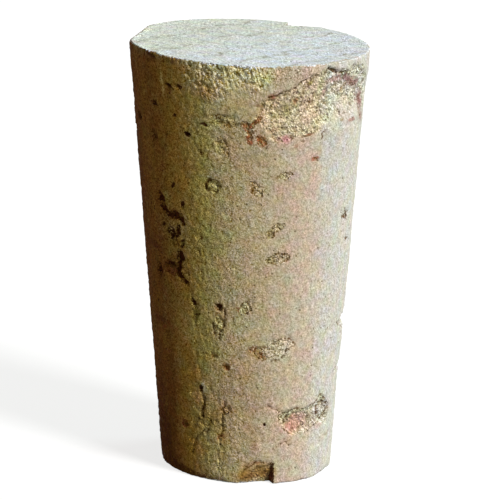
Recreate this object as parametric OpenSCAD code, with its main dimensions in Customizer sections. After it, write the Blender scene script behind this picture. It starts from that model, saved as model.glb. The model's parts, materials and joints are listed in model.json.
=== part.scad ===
// Tapered cork stopper
//
// One piece of natural cork, ground to a cone and sawn off at both ends. The saw cuts are a little
// out of square with the cone, so the head's centre stands to one side of the foot's centre.
// The stopper stands on its narrow foot: Z is up, and the origin is the middle of the foot's face.
// Round the side, angle 0 is the front (-Y) and angles grow to the right (+X).

/* [Stopper] */
// Diameter of the wide end, the head
head_d = 25; // [22:0.5:30]
// Diameter of the narrow end, the foot
foot_d = 18; // [15:0.5:21]
// Length from the foot's face to the head's face
length = 45.5; // [42:0.5:60]
// How far the head's centre stands to the left of the foot's centre
head_shift = 1.8; // [0:0.1:3]
// Width of the worn edge round the head and the foot
edge_wear = 0.2; // [0.1:0.05:0.5]

/* [Year rings] */
// Distance from the foot's centre to the middle of the tree
tree_distance = 62.5; // [40:0.5:120]
// Direction of the middle of the tree
tree_angle = 47; // [-180:1:180]
// Mean distance from one year ring to the next
ring_gap = 4.6; // [2.5:0.1:6]
// Width of the groove that a year ring leaves in a sawn face
ring_w = 0.25; // [0.15:0.05:0.5]
// Depth of the groove that a year ring leaves in a sawn face
ring_deep = 0.12; // [0.05:0.01:0.3]
// Width of the border of a sawn face that the year rings stop short of
ring_margin = 1; // [0.8:0.1:3]

/* [Hollow] */
// Direction of the middle of the crumbled hollow below the head
hollow_angle = 44; // [-180:1:180]
// Distance from the head's face down to the middle of the hollow
hollow_drop = 4.2; // [4:0.1:12]
// Width of the hollow, along the side
hollow_w = 16.4; // [6:0.2:18]
// Height of the hollow
hollow_h = 6.6; // [3:0.2:7]
// Depth of the hollow in its middle
hollow_deep = 0.6; // [0.3:0.05:1]
// Slant of the hollow, up to the right
hollow_slant = 6; // [-15:1:15]
// Size of the crumbs that have fallen out of the hollow
crumb_d = 2.1; // [1.4:0.1:3]
// Length of each half of the crack along the hollow's upper edge
crack_l = 2.5; // [1:0.1:4]
// Width of the crack
crack_w = 0.2; // [0.15:0.05:0.5]
// Depth of the crack
crack_deep = 0.5; // [0.2:0.05:1]

/* [Low patch] */
// Direction of the middle of the crumbled patch above the foot
patch_angle = 40; // [-180:1:180]
// Height of the middle of the patch above the foot
patch_z = 6.9; // [4:0.1:15]
// Width of the patch, along the side
patch_w = 8; // [3:0.2:10]
// Height of the patch
patch_h = 2.6; // [1.6:0.2:6]
// Depth of the patch in its middle
patch_deep = 0.4; // [0.2:0.05:0.8]
// Size of the crumbs that have fallen out of the patch
grit_d = 1.3; // [0.9:0.1:2]

/* [Lenticels] */
// Length of the long lenticel on the front
long_l = 5.4; // [3:0.1:7]
// Width of the long lenticel
long_w = 1.7; // [0.8:0.1:2.5]
// Depth of the long lenticel
long_deep = 0.6; // [0.4:0.05:1]
// Direction of the long lenticel's middle
long_angle = 14; // [-180:1:180]
// Height of the long lenticel above the foot
long_z = 14.9; // [10:0.1:20]
// Slant of the long lenticel, up to the right
long_tilt = 12; // [-90:1:90]
// Length of the upright slit on the left of the front
slit_l = 3.6; // [2:0.1:5]
// Width of the slit
slit_w = 0.7; // [0.4:0.1:1.2]
// Depth of the slit
slit_deep = 0.9; // [0.4:0.1:1.5]
// Direction of the slit
slit_angle = -27; // [-180:1:180]
// Height of the slit's middle above the foot
slit_z = 8.7; // [5:0.1:15]
// Slant of the slit from the level
slit_tilt = 95; // [60:1:120]
// Number of lenticels on the sides and back
back_count = 22; // [0:1:30]
// Length of the longest lenticel on the sides and back
back_l = 3.4; // [1.5:0.1:5]
// Width of the widest lenticel on the sides and back
back_w = 1.1; // [0.5:0.1:1.4]
// Depth of those lenticels as a share of their width
back_steep = 0.55; // [0.3:0.05:0.8]
// Height of the plain bands next to the foot and the head
back_border = 4; // [3:0.5:8]

/* [Chips] */
// Direction of the steep end of the chip out of the foot's front edge
notch_angle = 19; // [-180:1:180]
// Width of the foot's chip
notch_w = 3.8; // [2:0.1:6]
// Height of the foot's chip at its steep end
notch_h = 2.6; // [1:0.1:4]
// Height of the foot's chip at its shallow end
notch_low = 0.6; // [0.3:0.1:3]
// Depth of the foot's chip at its steep end
notch_deep = 1; // [0.4:0.1:2]
// Direction of the steep end of the chip out of the head's back edge
chip_angle = 161; // [-180:1:180]
// Width of the head's chip
chip_w = 4; // [2:0.1:6]
// Height of the head's chip
chip_h = 2.4; // [1:0.1:3.5]
// Depth of the head's chip at its steep end
chip_deep = 1.8; // [0.6:0.1:2.5]
// Direction of the middle of the place where the head's edge is rubbed away
rub_angle = -101; // [-180:1:180]
// Width of the rubbed place, over the head's face
rub_deep = 0.7; // [0.3:0.1:1.2]
// Height of the rubbed place, down the side
rub_h = 2; // [1:0.1:4]
// Direction of the middle of the worn corner of the foot
corner_angle = 68; // [-180:1:180]
// Width of the worn corner, over the foot's face
corner_deep = 0.65; // [0.3:0.05:1.2]
// Height of the worn corner, up the side
corner_h = 0.5; // [0.3:0.1:3]
// Number of tears in the grain below the head's front edge
tear_count = 16; // [0:1:24]
// Length of a tear
tear_l = 1.5; // [0.8:0.1:2.5]
// Width of a tear
tear_w = 0.4; // [0.2:0.05:0.7]
// Number of nicks in the head's left front edge
nick_count = 7; // [0:1:12]
// Width of a nick
nick_w = 1; // [0.5:0.1:1.5]
// Depth of a nick
nick_deep = 0.35; // [0.2:0.05:0.6]

/* [Hidden] */

cork_colour = "tan";

// Lean and taper of the ground cone
lean = atan(head_shift / length);
slope = atan((head_d - foot_d) / 2 / length);
axis_l = length / cos(lean);
saw_spare = 3;
spare_r = saw_spare * (head_d - foot_d) / 2 / axis_l;

// A cutting tool stands out of the cork by this much
clear = 3;
// Length of a facet on a ball, and the most facets round one
facet = 0.5;
most_facets = 40;

// Facets round the stopper and round a year ring
round_facets = 96;
ring_facets = 240;

// Steps that scatter points evenly, and the turn between two of them on a spiral
golden = 0.618034;
even = 0.754878;
even_too = 0.56984;
golden_turn = 137.508;
// How far a year ring may stand off its even place, as a share of the gap
ring_stray = 0.3;
// The least that a pit's floor curves, as a share of its depth
least_sag = 0.25;
// Area of a crumbled place that its scoops cover, counted together, as a share of its box
crumb_cover = 1.1;
// The smallest scoop, and how much larger the largest is, as shares of the crumb's size
crumb_least = 0.8;
crumb_spread = 0.5;
// How much shallower the scoops are at the border of a crumbled place than in its middle
crumb_rise = 0.45;
// Where the back's lenticels begin, how far round they go, and between which slants they lie
back_from = 90;
back_turn = 190;
back_tilt = 10;
// The smallest of the back's lenticels as a share of the largest
back_least = 0.45;
// Where the tears begin, how far round and down they go, and how they slant
tear_from = -26;
tear_turn = 28;
tear_drop = 0.7;
tear_band = 2.6;
tear_tilt = -40;
tear_tilt_spread = -25;
tear_steep = 0.55;
// Where the nicks begin and how far round they go
nick_from = -66;
nick_turn = 40;

// The crumbled places, as [angle, height, width, height of the place, depth, slant, size of a crumb]
hollow = [hollow_angle, length - hollow_drop, hollow_w, hollow_h, hollow_deep, hollow_slant, crumb_d];
patch = [patch_angle, patch_z, patch_w, patch_h, patch_deep, 0, grit_d];

// The pieces of the crack, as [angle from the hollow's middle, distance below the head, tilt]
cracks = [
    [-28, 3, 30],
    [-19, 1.7, 38],
    [4, 0.9, -12],
    [15, 1.1, 8],
];

// The lenticels of the front, as [angle, height, length, width, tilt, depth].
// A height below zero is measured down from the head's face.
front_lenticels = [
    [-10, -5.9, 3.8, 1.4, -14, 0.4],
    [-12, -8.7, 2.5, 0.9, -52, 0.35],
    [2, -7.1, 2.2, 0.8, -68, 0.4],
    [8, -7.9, 1.6, 0.7, -45, 0.35],
    [-18, -13, 2.1, 1.4, 0, 0.45],
    [5, -13, 1.9, 1.1, -50, 0.4],
    [20, -11.6, 1.8, 0.6, 6, 0.3],
    [16, 28.2, 2, 1, 40, 0.4],
    [18, 25, 2.9, 1, 8, 0.4],
    [-52, 30.2, 1.3, 0.5, -65, 0.35],
    [-48, 28.9, 1.8, 0.5, -32, 0.4],
    [-39, 28.6, 2.2, 0.6, -20, 0.4],
    [-45, 26.7, 1.3, 0.7, 80, 0.5],
    [-40, 26.8, 1.5, 0.7, 80, 0.5],
    [-40, 23.8, 2.6, 0.8, 70, 0.55],
    [-47, 22.8, 1.5, 0.7, 8, 0.4],
    [-36, 21.9, 1.8, 0.8, -30, 0.45],
    [-58, 21.8, 1.4, 0.4, 85, 0.35],
    [-30, 18.4, 2.2, 0.9, 80, 0.35],
    [-25, 26, 2, 0.6, -60, 0.3],
    [0, 19.5, 1.5, 1.3, 0, 0.4],
    [-16, 19.6, 0.9, 0.7, 80, 0.5],
    [-15, 17.4, 2.6, 0.8, -80, 0.35],
    [-12, 8.1, 1.4, 1, 80, 0.3],
    [59, 7.4, 2.4, 1.2, -13, 0.45],
    [66, 28.5, 2.2, 0.6, -18, 0.3],
    [92, 16.4, 4.4, 1.8, 0, 0.4],
    [92, 11.3, 3.4, 0.9, 0, 0.3],
    [77, 14.8, 1.2, 0.7, 60, 0.25],
    [-54, -8.8, 1.5, 0.9, -70, 0.4],
    [-70, -7.5, 1, 0.6, 0, 0.4],
    [-53, -5.3, 1.2, 0.4, 15, 0.3],
    [-41, -3.2, 1, 0.4, -20, 0.3],
    [-35, -2.9, 0.7, 0.4, 0, 0.25],
    [-31, -7.9, 0.8, 0.6, -20, 0.45],
    [-42, 31.8, 0.8, 0.5, 40, 0.3],
    [71, 25.8, 1, 0.4, -15, 0.25],
    [36, -10.1, 0.8, 0.3, -8, 0.2],
    [-12, 13, 0.9, 0.6, -20, 0.35],
    [-42, 5.7, 0.9, 0.6, 0, 0.35],
    [-15, 5.1, 0.9, 0.5, -60, 0.3],
    [-24, 6.6, 1.3, 0.6, 60, 0.35],
    [13, 6.6, 0.5, 0.4, 0, 0.3],
];

// Fraction of the way through a scatter with an even step
function share(i, step) = (i * step) % 1;
// Height above the foot
function above_foot(z) = z < 0 ? length + z : z;
// Radius of the cone at a height
function radius_at(z) = foot_d / 2 + (head_d - foot_d) / 2 * z / length;
// Angle that a distance along the side spans at a height
function span(along, z) = along / radius_at(z) * 180 / PI;
// Radius of the ball whose cap is `across` wide and `deep` high
function cap_r(across, deep) = (across * across / 4 + deep * deep) / (2 * deep);
// Facets round a ball
function facets(r) = min(most_facets, max(16, ceil(2 * PI * r / facet)));

// Puts its children on the side: X to the right, Y up the taper and Z straight out
module on_side(angle, z, tilt = 0) {
    translate([-head_shift * z / length, 0, z])
        rotate([0, 0, angle])
            translate([0, -radius_at(z), 0])
                rotate([90 + slope, 0, 0])
                    rotate([0, 0, tilt])
                        children();
}

// A ball with its poles to the sides, so that none falls on the floor of a scoop
module ball(r) {
    rotate([0, 90, 0])
        sphere(r = r, $fn = facets(r));
}

// A round scoop
module scoop(across, deep) {
    r = cap_r(across, deep);
    translate([0, 0, r - deep])
        ball(r);
}

// A pit in the side with a pointed oval outline, which is what two balls share.
// The side falls away from a long pit's ends, so its floor is that much flatter.
module lenticel(angle, z, l, w, tilt, deep) {
    fall = pow(l / 2 * cos(tilt), 2) / (2 * radius_at(z));
    r = cap_r(l, max(deep - fall, least_sag * deep));
    aside = (2 * r * deep - deep * deep - w * w / 4) / w;
    on_side(angle, z, tilt)
        intersection_for (way = [-1, 1])
            translate([0, way * aside, r - deep])
                ball(sqrt(r * r + aside * aside));
}

// How many scoops a crumbled place of these sizes takes
function crumbs(w, h, d) = round(crumb_cover * w * h / (d * d) * 4 / PI);

// One scoop of a crumbled place, on a spiral about its middle, deepest there
module crumb(place, i, count) {
    out = sqrt((i + 0.5) / count);
    x = out * (place[2] - place[6]) / 2 * cos(golden_turn * i);
    y = out * (place[3] - place[6]) / 2 * sin(golden_turn * i);
    slant = place[5];
    size = crumb_least + crumb_spread * share(i, even);
    on_side(
        place[0] + span(x * cos(slant) - y * sin(slant), place[1]),
        place[1] + x * sin(slant) + y * cos(slant)
    )
        scoop(size * place[6], size * place[4] * (1 - crumb_rise * out * out));
}

// Its children with a crumbled place cut into them, one scoop after another.
// The place is [angle, height, width, height of the place, depth, slant, size of a crumb].
module crumbled(place, done = 0) {
    count = crumbs(place[2], place[3], place[6]);
    if (done == count)
        children();
    else
        difference() {
            crumbled(place, done + 1)
                children();
            crumb(place, done, count);
        }
}

// A chip with one steep end, at `angle`, and a floor that rises to nothing at its other end.
// It stands on the edge of a face whose radius is `r`, and goes `h` up the side at its steep end
// and `low` at the other.
module chip(angle, r, w, h, low, deep) {
    end_turn = -w / r * 180 / PI;
    outside = r + clear;
    rotate([0, 0, angle])
        intersection() {
            translate([0, 0, -clear])
                linear_extrude(h + 2 * clear)
                    polygon([
                        [0, deep - r],
                        [r * sin(end_turn), -r * cos(end_turn)],
                        [outside * sin(end_turn), -outside * cos(end_turn)],
                        [0, -outside],
                    ]);
            translate([0, 0, h])
                rotate([0, -atan((h - low) / w), 0])
                    translate([-outside, -2 * outside, -h - 2 * clear])
                        cube([2 * outside, 2 * outside, h + 2 * clear]);
        }
}

module cone_blank() {
    rotate([0, -lean, 0])
        translate([0, 0, -saw_spare])
            cylinder(
                h = axis_l + 2 * saw_spare,
                r1 = foot_d / 2 - spare_r,
                r2 = head_d / 2 + spare_r,
                $fn = round_facets
            );
}

// Everything above the foot's saw cut, with its worn edge
module foot_end() {
    cylinder(
        h = length,
        r1 = foot_d / 2 - edge_wear,
        r2 = foot_d / 2 - edge_wear + length,
        $fn = round_facets
    );
}

// Everything below the head's saw cut, with its worn edge
module head_end() {
    translate([-head_shift, 0, 0])
        cylinder(
            h = length,
            r1 = head_d / 2 - edge_wear + length,
            r2 = head_d / 2 - edge_wear,
            $fn = round_facets
        );
}

// The grooves that year rings leave in a face of radius `r`, as thin arcs about the tree's middle
module year_rings(centre_x, r) {
    most = floor((r - ring_margin) / ring_gap);
    intersection() {
        translate([centre_x, 0, 0])
            cylinder(h = ring_deep + clear, r = r - ring_margin, $fn = round_facets);
        rotate([0, 0, tree_angle])
            translate([0, -tree_distance, 0])
                for (i = [-most : most])
                    year_ring(tree_distance + ring_gap * (i + ring_stray * share(i + most, golden)));
    }
}

module year_ring(r) {
    difference() {
        cylinder(h = ring_deep + clear, r = r + ring_w / 2, $fn = ring_facets);
        translate([0, 0, -clear])
            cylinder(h = ring_deep + 3 * clear, r = r - ring_w / 2, $fn = ring_facets);
    }
}

module lenticels() {
    for (place = front_lenticels)
        lenticel(place[0], above_foot(place[1]), place[2], place[3], place[4], place[5]);
    lenticel(long_angle, long_z, long_l, long_w, long_tilt, long_deep);
    lenticel(slit_angle, slit_z, slit_l, slit_w, slit_tilt, slit_deep);
    for (i = [0 : 1 : back_count - 1]) {
        size = back_least + (1 - back_least) * share(i, even_too);
        lenticel(
            back_from + back_turn * share(i, golden),
            back_border + (length - 2 * back_border) * share(i, even),
            size * back_l,
            size * back_w,
            back_tilt * (2 * share(i, even_too) - 1),
            back_steep * size * back_w
        );
    }
}

module torn_grain() {
    for (i = [0 : 1 : tear_count - 1])
        lenticel(
            tear_from + tear_turn * share(i, golden),
            length - tear_drop - tear_band * share(i, even),
            tear_l,
            tear_w,
            tear_tilt + tear_tilt_spread * share(i, even_too),
            tear_steep * tear_w
        );
    for (i = [0 : 1 : nick_count - 1])
        on_side(nick_from + nick_turn * share(i, golden), length)
            scoop(nick_w, nick_deep);
}

module crack() {
    for (piece = cracks)
        lenticel(hollow_angle + piece[0], length - piece[1], crack_l, crack_w, piece[2], crack_deep);
}

// What is rubbed off an edge by a plane that comes in by `deep` over the face and out of the side at
// `h` from it. `way` is 1 below the head's face and -1 above the foot's.
module rub(angle, z, way, deep, h) {
    on_side(angle, z)
        translate([0, 0, -deep])
            rotate([-way * atan(deep / h), 0, 0])
                translate([-head_d / 2, way > 0 ? -h - clear : -clear, 0])
                    cube([head_d, h + 2 * clear, clear]);
}

module stopper() {
    color(cork_colour)
        difference() {
            crumbled(hollow)
                crumbled(patch)
                    intersection() {
                        cone_blank();
                        foot_end();
                        head_end();
                    }
            translate([0, 0, length - ring_deep])
                year_rings(-head_shift, head_d / 2);
            translate([0, 0, -clear])
                year_rings(0, foot_d / 2);
            crack();
            lenticels();
            torn_grain();
            chip(notch_angle, foot_d / 2, notch_w, notch_h, notch_low, notch_deep);
            translate([-head_shift, 0, length])
                mirror([0, 0, 1])
                    chip(chip_angle, head_d / 2, chip_w, chip_h, chip_h, chip_deep);
            rub(rub_angle, length, 1, rub_deep, rub_h);
            rub(corner_angle, 0, -1, corner_deep, corner_h);
        }
}

stopper();
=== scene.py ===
"""A tapered cork stopper: the piece, its cork and the stage that it stands on.

Sizes in the settings are in metres. The form is worked out in millimetres and put into the mesh in
metres. Round the side, angle 0 is the front (-Y) and angles grow to the right (+X).
"""

import json
from types import SimpleNamespace

import bpy
import numpy as np
from mathutils import Matrix, Vector


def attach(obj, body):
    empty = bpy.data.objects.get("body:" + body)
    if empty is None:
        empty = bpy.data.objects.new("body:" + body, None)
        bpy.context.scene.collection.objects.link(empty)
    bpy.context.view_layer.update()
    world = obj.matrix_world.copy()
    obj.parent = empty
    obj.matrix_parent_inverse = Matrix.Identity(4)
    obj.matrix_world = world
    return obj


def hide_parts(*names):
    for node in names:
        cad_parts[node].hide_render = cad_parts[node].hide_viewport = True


bl_info = {
    "name": "Cork stopper",
    "version": (1, 0, 0),
    "blender": (4, 5, 0),
    "location": "View3D > Sidebar > Stopper",
    "description": "Makes a tapered natural cork stopper and a plain stage for it",
    "category": "Add Mesh",
}

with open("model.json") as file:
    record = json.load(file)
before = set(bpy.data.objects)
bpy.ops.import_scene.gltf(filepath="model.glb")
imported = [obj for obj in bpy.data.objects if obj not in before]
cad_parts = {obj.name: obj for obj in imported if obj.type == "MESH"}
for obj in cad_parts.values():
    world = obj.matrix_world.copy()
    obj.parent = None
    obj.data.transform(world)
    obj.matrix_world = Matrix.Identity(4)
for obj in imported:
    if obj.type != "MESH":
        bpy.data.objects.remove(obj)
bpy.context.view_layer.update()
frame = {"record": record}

NODE = "stopper"
BODY = "root"
MM = 0.001
MOUNTS = {mount["name"]: mount for mount in frame["record"]["mounts"]}
HEAD_AT = MOUNTS["head"]["pos_m"]

# How much closer together the columns are at the front, and rows of points on a worn edge
FRONT_PULL = 0.38
EDGE_ROWS = 5

# Places where the rows are closer together: height, reach and by how much
CLOSER_ROWS = ((41.5, 4.5, 0.7), (7.0, 4.0, 0.4))

# A distance at which nothing shows any more, in millimetres or, for crumbs, in cells
FAR = 9.0

# How far noise bends the outlines of places, and the size of its lumps; and how many degrees for a
# millimetre of that it frays the borders of the crumbled places and of the colour zones
BEND = 0.16
BEND_SIZE = 0.9
BORDER_FRAY = 30
ZONE_FRAY = 14

# The middle of the tree: how far it is from the foot's centre, and at what angle; and the distance
# between year rings
TREE_FAR = 62.5
TREE_ANGLE = 47
RING_GAP = 4.6

# The direction in which the grain tore below the head, and where it tore lowest, as (angle, reach)
TORN_WAY = (0.35, -0.1, -0.93)
TORN_LOWEST = (-17, 9)

# The chips out of the foot's front and the head's back: the angle of the steep end, width and depth
FOOT_CHIP = (19, 3.8, 1.0)
HEAD_CHIP = (161, 4.0, 1.8)

# The steep wall of the foot's chip, which faces away from the key light and is painted as dark as an
# open pit for painted shade: how far its angle is off the chip's, half its width and its top
CHIP_WALL = (-0.3, 0.12, 2.3)

# What a plane takes off the head's edge and off the foot's corner: angle, depth at the edge and
# how far from the edge the plane meets the side
RUBBED_EDGE = (-101, 0.7, 2.0)
WORN_CORNER = (68, 0.3, 0.3)

# Where the head's rim is softest, as (angle, reach)
SOFT_RIM = (55, 26)

# How much of its depth the crumbs of a crumbly lenticel fill
CRUMB_FILL = 0.65

# How many points each way a point's depth is compared with
MEAN_REACH = 4

# Marks that the cork reads on the side, and what they say on the sawn ends
MARKS = {
    "pit": FAR, "line": FAR, "gap": 1, "dark": 0, "rust": 0, "edge": 0, "crumb": 0, "crumbled": 0,
    "torn": 0, "rough": 0,
}

# The circle on which the noise for the edges' wear is read
NOISE_R = 20

# Sizes in the cork's textures: a grain, and the distances between pores of the side and of the ends
GRAIN_D = 0.26
PORE_GAP = 0.8
END_PORE_GAP = 0.6

# How much paler than the ground cork a crumb of a white tint is, and the most that crumbs or dust
# cover what they lie on
CRUMB_GAIN = 1.5
COVER = 0.85

# How much the fine grain changes red, green and blue in pale cork and in old cork; in a sawn end it
# changes them all alike
GRAIN_TINT = (0.93, 1.0, 1.2)
OLD_GRAIN_TINT = (0.8, 1.0, 2.0)
WHITE = (1.0, 1.0, 1.0)

# How far red, green and blue stray by themselves
HUE_SPREAD = (0.75, 0.5, 1.3)

# Dusts that lie softly over the cork, among them some painted highlight; the others lie in specks,
# among them some painted shade
SOFT_DUSTS = ("pink", "umber", "olive", "rosy", "maroon", "straw", "cream", "grey", "blush")

# Steps that scatter places evenly, as in the stopper's own construction
GOLDEN = 0.618034
EVEN = 0.754878
EVEN_TOO = 0.56984

# How far the floor reaches each way, in metres
FLOOR_REACH = 2.0


# ---------------------------------------------------------------------------------------------
# Settings


def length_setting(name, default, description):
    return bpy.props.FloatProperty(name=name, description=description, default=default, min=0.0,
                                   precision=5, unit="LENGTH")


def number_setting(name, default, description, low=0.0):
    return bpy.props.FloatProperty(name=name, description=description, default=default, min=low)


def angle_setting(name, default, description):
    return bpy.props.FloatProperty(name=name, description=description, default=np.radians(default),
                                   subtype="ANGLE")


def count_setting(name, default, description):
    return bpy.props.IntProperty(name=name, description=description, default=default, min=8)


def colour_setting(name, default, description):
    return bpy.props.FloatVectorProperty(name=name, description=description, default=default, size=3,
                                         min=0.0, max=1.0, subtype="COLOR")


class StopperSizes(bpy.types.PropertyGroup):
    """Sizes of the stopper's surface. Its length, its lean and the head's place come from the frame."""

    head_d: length_setting("Head diameter", 0.025, "Diameter of the wide end")
    foot_d: length_setting("Foot diameter", 0.018, "Diameter of the narrow end")
    edge_wear: length_setting("Edge wear", 0.00014, "Mean radius of the worn edges")
    hollow_deep: length_setting("Hollow depth", 0.0006, "Depth of the crumbled hollow")
    patch_deep: length_setting("Patch depth", 0.0004, "Depth of the crumbled patch")
    crumb_d: length_setting("Crumb size", 0.0004, "Size of a crumb in the crumbled places")
    crumb_h: length_setting("Crumb height", 0.0002, "How far the crumbs stand up")
    torn_deep: length_setting("Torn grain", 0.00018, "Depth of the torn grain below the head")
    grain_h: length_setting("Grain height", 0.00004, "Height of the cork's own fine relief")
    wave_h: length_setting("Wave height", 0.00004, "How far the ground side waves")
    columns: count_setting("Columns", 344, "Points round the side")
    rows: count_setting("Rows", 236, "Points up the side")
    face_rings: count_setting("Face rings", 22, "Points from the middle of an end to its edge")


class StopperColours(bpy.types.PropertyGroup):
    """Colours of the cork"""

    cork: colour_setting("Cork", (0.575, 0.50, 0.365), "Ground cork")
    blush: colour_setting("Pinkish cork", (0.59, 0.455, 0.35), "Cork with a pink cast")
    grey: colour_setting("Greyish cork", (0.565, 0.535, 0.465), "Cork with a grey cast")
    tan: colour_setting("Tan cork", (0.505, 0.405, 0.222), "Cork with a yellow-brown cast")
    olive: colour_setting("Olive cork", (0.42, 0.35, 0.105), "Cork with an olive cast")
    umber: colour_setting("Umber cork", (0.44, 0.25, 0.045), "Old cork, orange-brown")
    # The brown cork on the left, the side turned from the key light, is partly old cork and partly
    # painted shade
    brown: colour_setting("Brown cork", (0.225, 0.093, 0.014), "Old cork, dark brown")
    pale: colour_setting("Palest crumbs", (0.96, 1.0, 0.97), "Tint of the palest crumbs")
    dull: colour_setting("Darkest crumbs", (0.60, 0.61, 0.47), "Tint of the darkest crumbs")
    shade: colour_setting("Shaded cork", (0.17, 0.095, 0.012), "Cork between crumbs and in cracks")
    # The pit colour is also painted shade: on the chip's steep wall, in holes between crumbs and along
    # the foot's edge
    pit: colour_setting("Pit", (0.06, 0.011, 0.002), "The inside of an open pit")
    rust: colour_setting("Rust stain", (0.27, 0.075, 0.022), "Red-brown bark dust")
    pink: colour_setting("Pink stain", (0.66, 0.30, 0.265), "Pink bark dust")
    plum: colour_setting("Plum stain", (0.26, 0.11, 0.09), "Purple-brown bark dust")
    # Cream and straw are pale cork, and in a few places painted highlight on ridges and rims
    cream: colour_setting("Cream", (0.74, 0.66, 0.43), "Bare pale cork on ridges")
    straw: colour_setting("Straw", (0.70, 0.50, 0.17), "Bare pale cork in old cork")
    rosy: colour_setting("Rosy cork", (0.465, 0.335, 0.19), "Cork with a pinkish brown cast")
    maroon: colour_setting("Maroon cork", (0.13, 0.035, 0.008), "Old cork, red-brown")
    torn: colour_setting("Torn cork", (0.84, 0.76, 0.41), "Freshly torn cork")
    tear: colour_setting("Dark tear", (0.23, 0.155, 0.02), "The bottom of a tear in the grain")
    sawn: colour_setting("Sawn end", (0.73, 0.78, 0.81), "A clean sawn end")
    sawn_old: colour_setting("Yellowed end", (0.69, 0.73, 0.665), "A yellowed sawn end")
    ring: colour_setting("Year ring", (0.25, 0.235, 0.14), "A year ring in a sawn end")


class StageSettings(bpy.types.PropertyGroup):
    """Lights, floor and camera"""

    key: number_setting("Key light", 1.0, "Light from the right front; 1 shows colours as written")
    edge: number_setting("Edge light", 0.55, "Light from the right and behind")
    coolness: colour_setting("Edge colour", (0.82, 0.97, 1.0), "Colour of the edge light")
    fill: number_setting("Fill light", 0.14, "Light from all round")
    warmth: colour_setting("Fill colour", (1.0, 0.86, 0.62), "Colour of the light from all round")
    floor: colour_setting("Floor", (0.34, 0.34, 0.34), "What the floor gives back of the light")
    paleness: number_setting("Paleness", 0.78, "What makes the floor pale for the camera")
    lens: number_setting("Lens", 261.0, "Focal length in millimetres")
    distance: length_setting("Distance", 0.384, "From the camera to the stopper's middle")
    elevation: angle_setting("Elevation", 14.61, "Angle at which the camera looks down")
    roll: angle_setting("Roll", 2.78, "Turn of the camera about its line of sight")
    shift_x: number_setting("Shift right", -0.0118, "Sideways shift of the picture", low=-1.0)
    shift_y: number_setting("Shift up", 0.0066, "Upward shift of the picture", low=-1.0)


# ---------------------------------------------------------------------------------------------
# Noise on whole arrays. Each noise has a seed of its own.


def fade(t):
    """The smooth step 6t^5 - 15t^4 + 10t^3."""
    return t * t * t * (t * (t * 6 - 15) + 10)


def ramp(x, low, high):
    """0 below low, 1 above high and a smooth step between; high may be the smaller."""
    t = np.clip((x - low) / (high - low), 0, 1)
    return t * t * (3 - 2 * t)


def bell(x, middle, reach):
    """1 in the middle, falling to 0 on both sides: e to the minus square of the distance over the
    reach."""
    return np.exp(-(((x - middle) / reach) ** 2))


def scramble(cells, seed):
    """A whole number from 0 to 255 for each cell of a grid, mixed by primes and shifts."""
    primes = np.array([73856093, 19349663, 83492791], dtype=np.int64)
    mixed = (cells.astype(np.int64) * primes).sum(-1) + seed * 2654435761
    mixed ^= mixed >> 13
    mixed = (mixed * 1274126177) & 0x7FFFFFFF
    return (mixed ^ (mixed >> 16)) & 255


def noise(points, size, seed):
    """Gradient noise from about -1 to 1: each corner of a cell of the given size has a random
    slope, and the slopes' heights are blended with the smooth step."""
    slopes = np.random.default_rng(seed).normal(size=(256, 3))
    slopes /= np.linalg.norm(slopes, axis=1, keepdims=True)
    scaled = points / size
    cell = np.floor(scaled)
    inside = scaled - cell
    weight = fade(inside)
    total = 0
    for corner in np.ndindex(2, 2, 2):
        corner = np.array(corner)
        slope = slopes[scramble(cell + corner, seed)]
        height = (slope * (inside - corner)).sum(-1)
        share = np.where(corner == 1, weight, 1 - weight).prod(-1)
        total = total + share * height
    return 1.6 * total


def layered(points, size, seed, layers=3):
    """Noise added to itself at half the size and half the height, and again."""
    return sum(noise(points, size / 2**i, seed + i) / 2**i for i in range(layers))


def crumbs(points, size, seed):
    """The distance to the nearest and to the second nearest of points scattered one to a cell, in
    cells, and a random share for the nearest."""
    tables = np.random.default_rng(seed).random((256, 4))
    scaled = points / size
    cell = np.floor(scaled)
    nearest = np.full(points.shape[:-1], FAR)
    second = nearest.copy()
    share = np.zeros_like(nearest)
    for step in np.ndindex(3, 3, 3):
        other = cell + np.array(step) - 1
        row = tables[scramble(other, seed)]
        away = np.linalg.norm(other + row[..., :3] - scaled, axis=-1)
        closer = away < nearest
        second = np.where(closer, nearest, np.minimum(second, away))
        share = np.where(closer, row[..., 3], share)
        nearest = np.where(closer, away, nearest)
    return nearest, second, share


# ---------------------------------------------------------------------------------------------
# What the cork shows, as (angle in degrees, height above the foot in millimetres)

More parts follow.
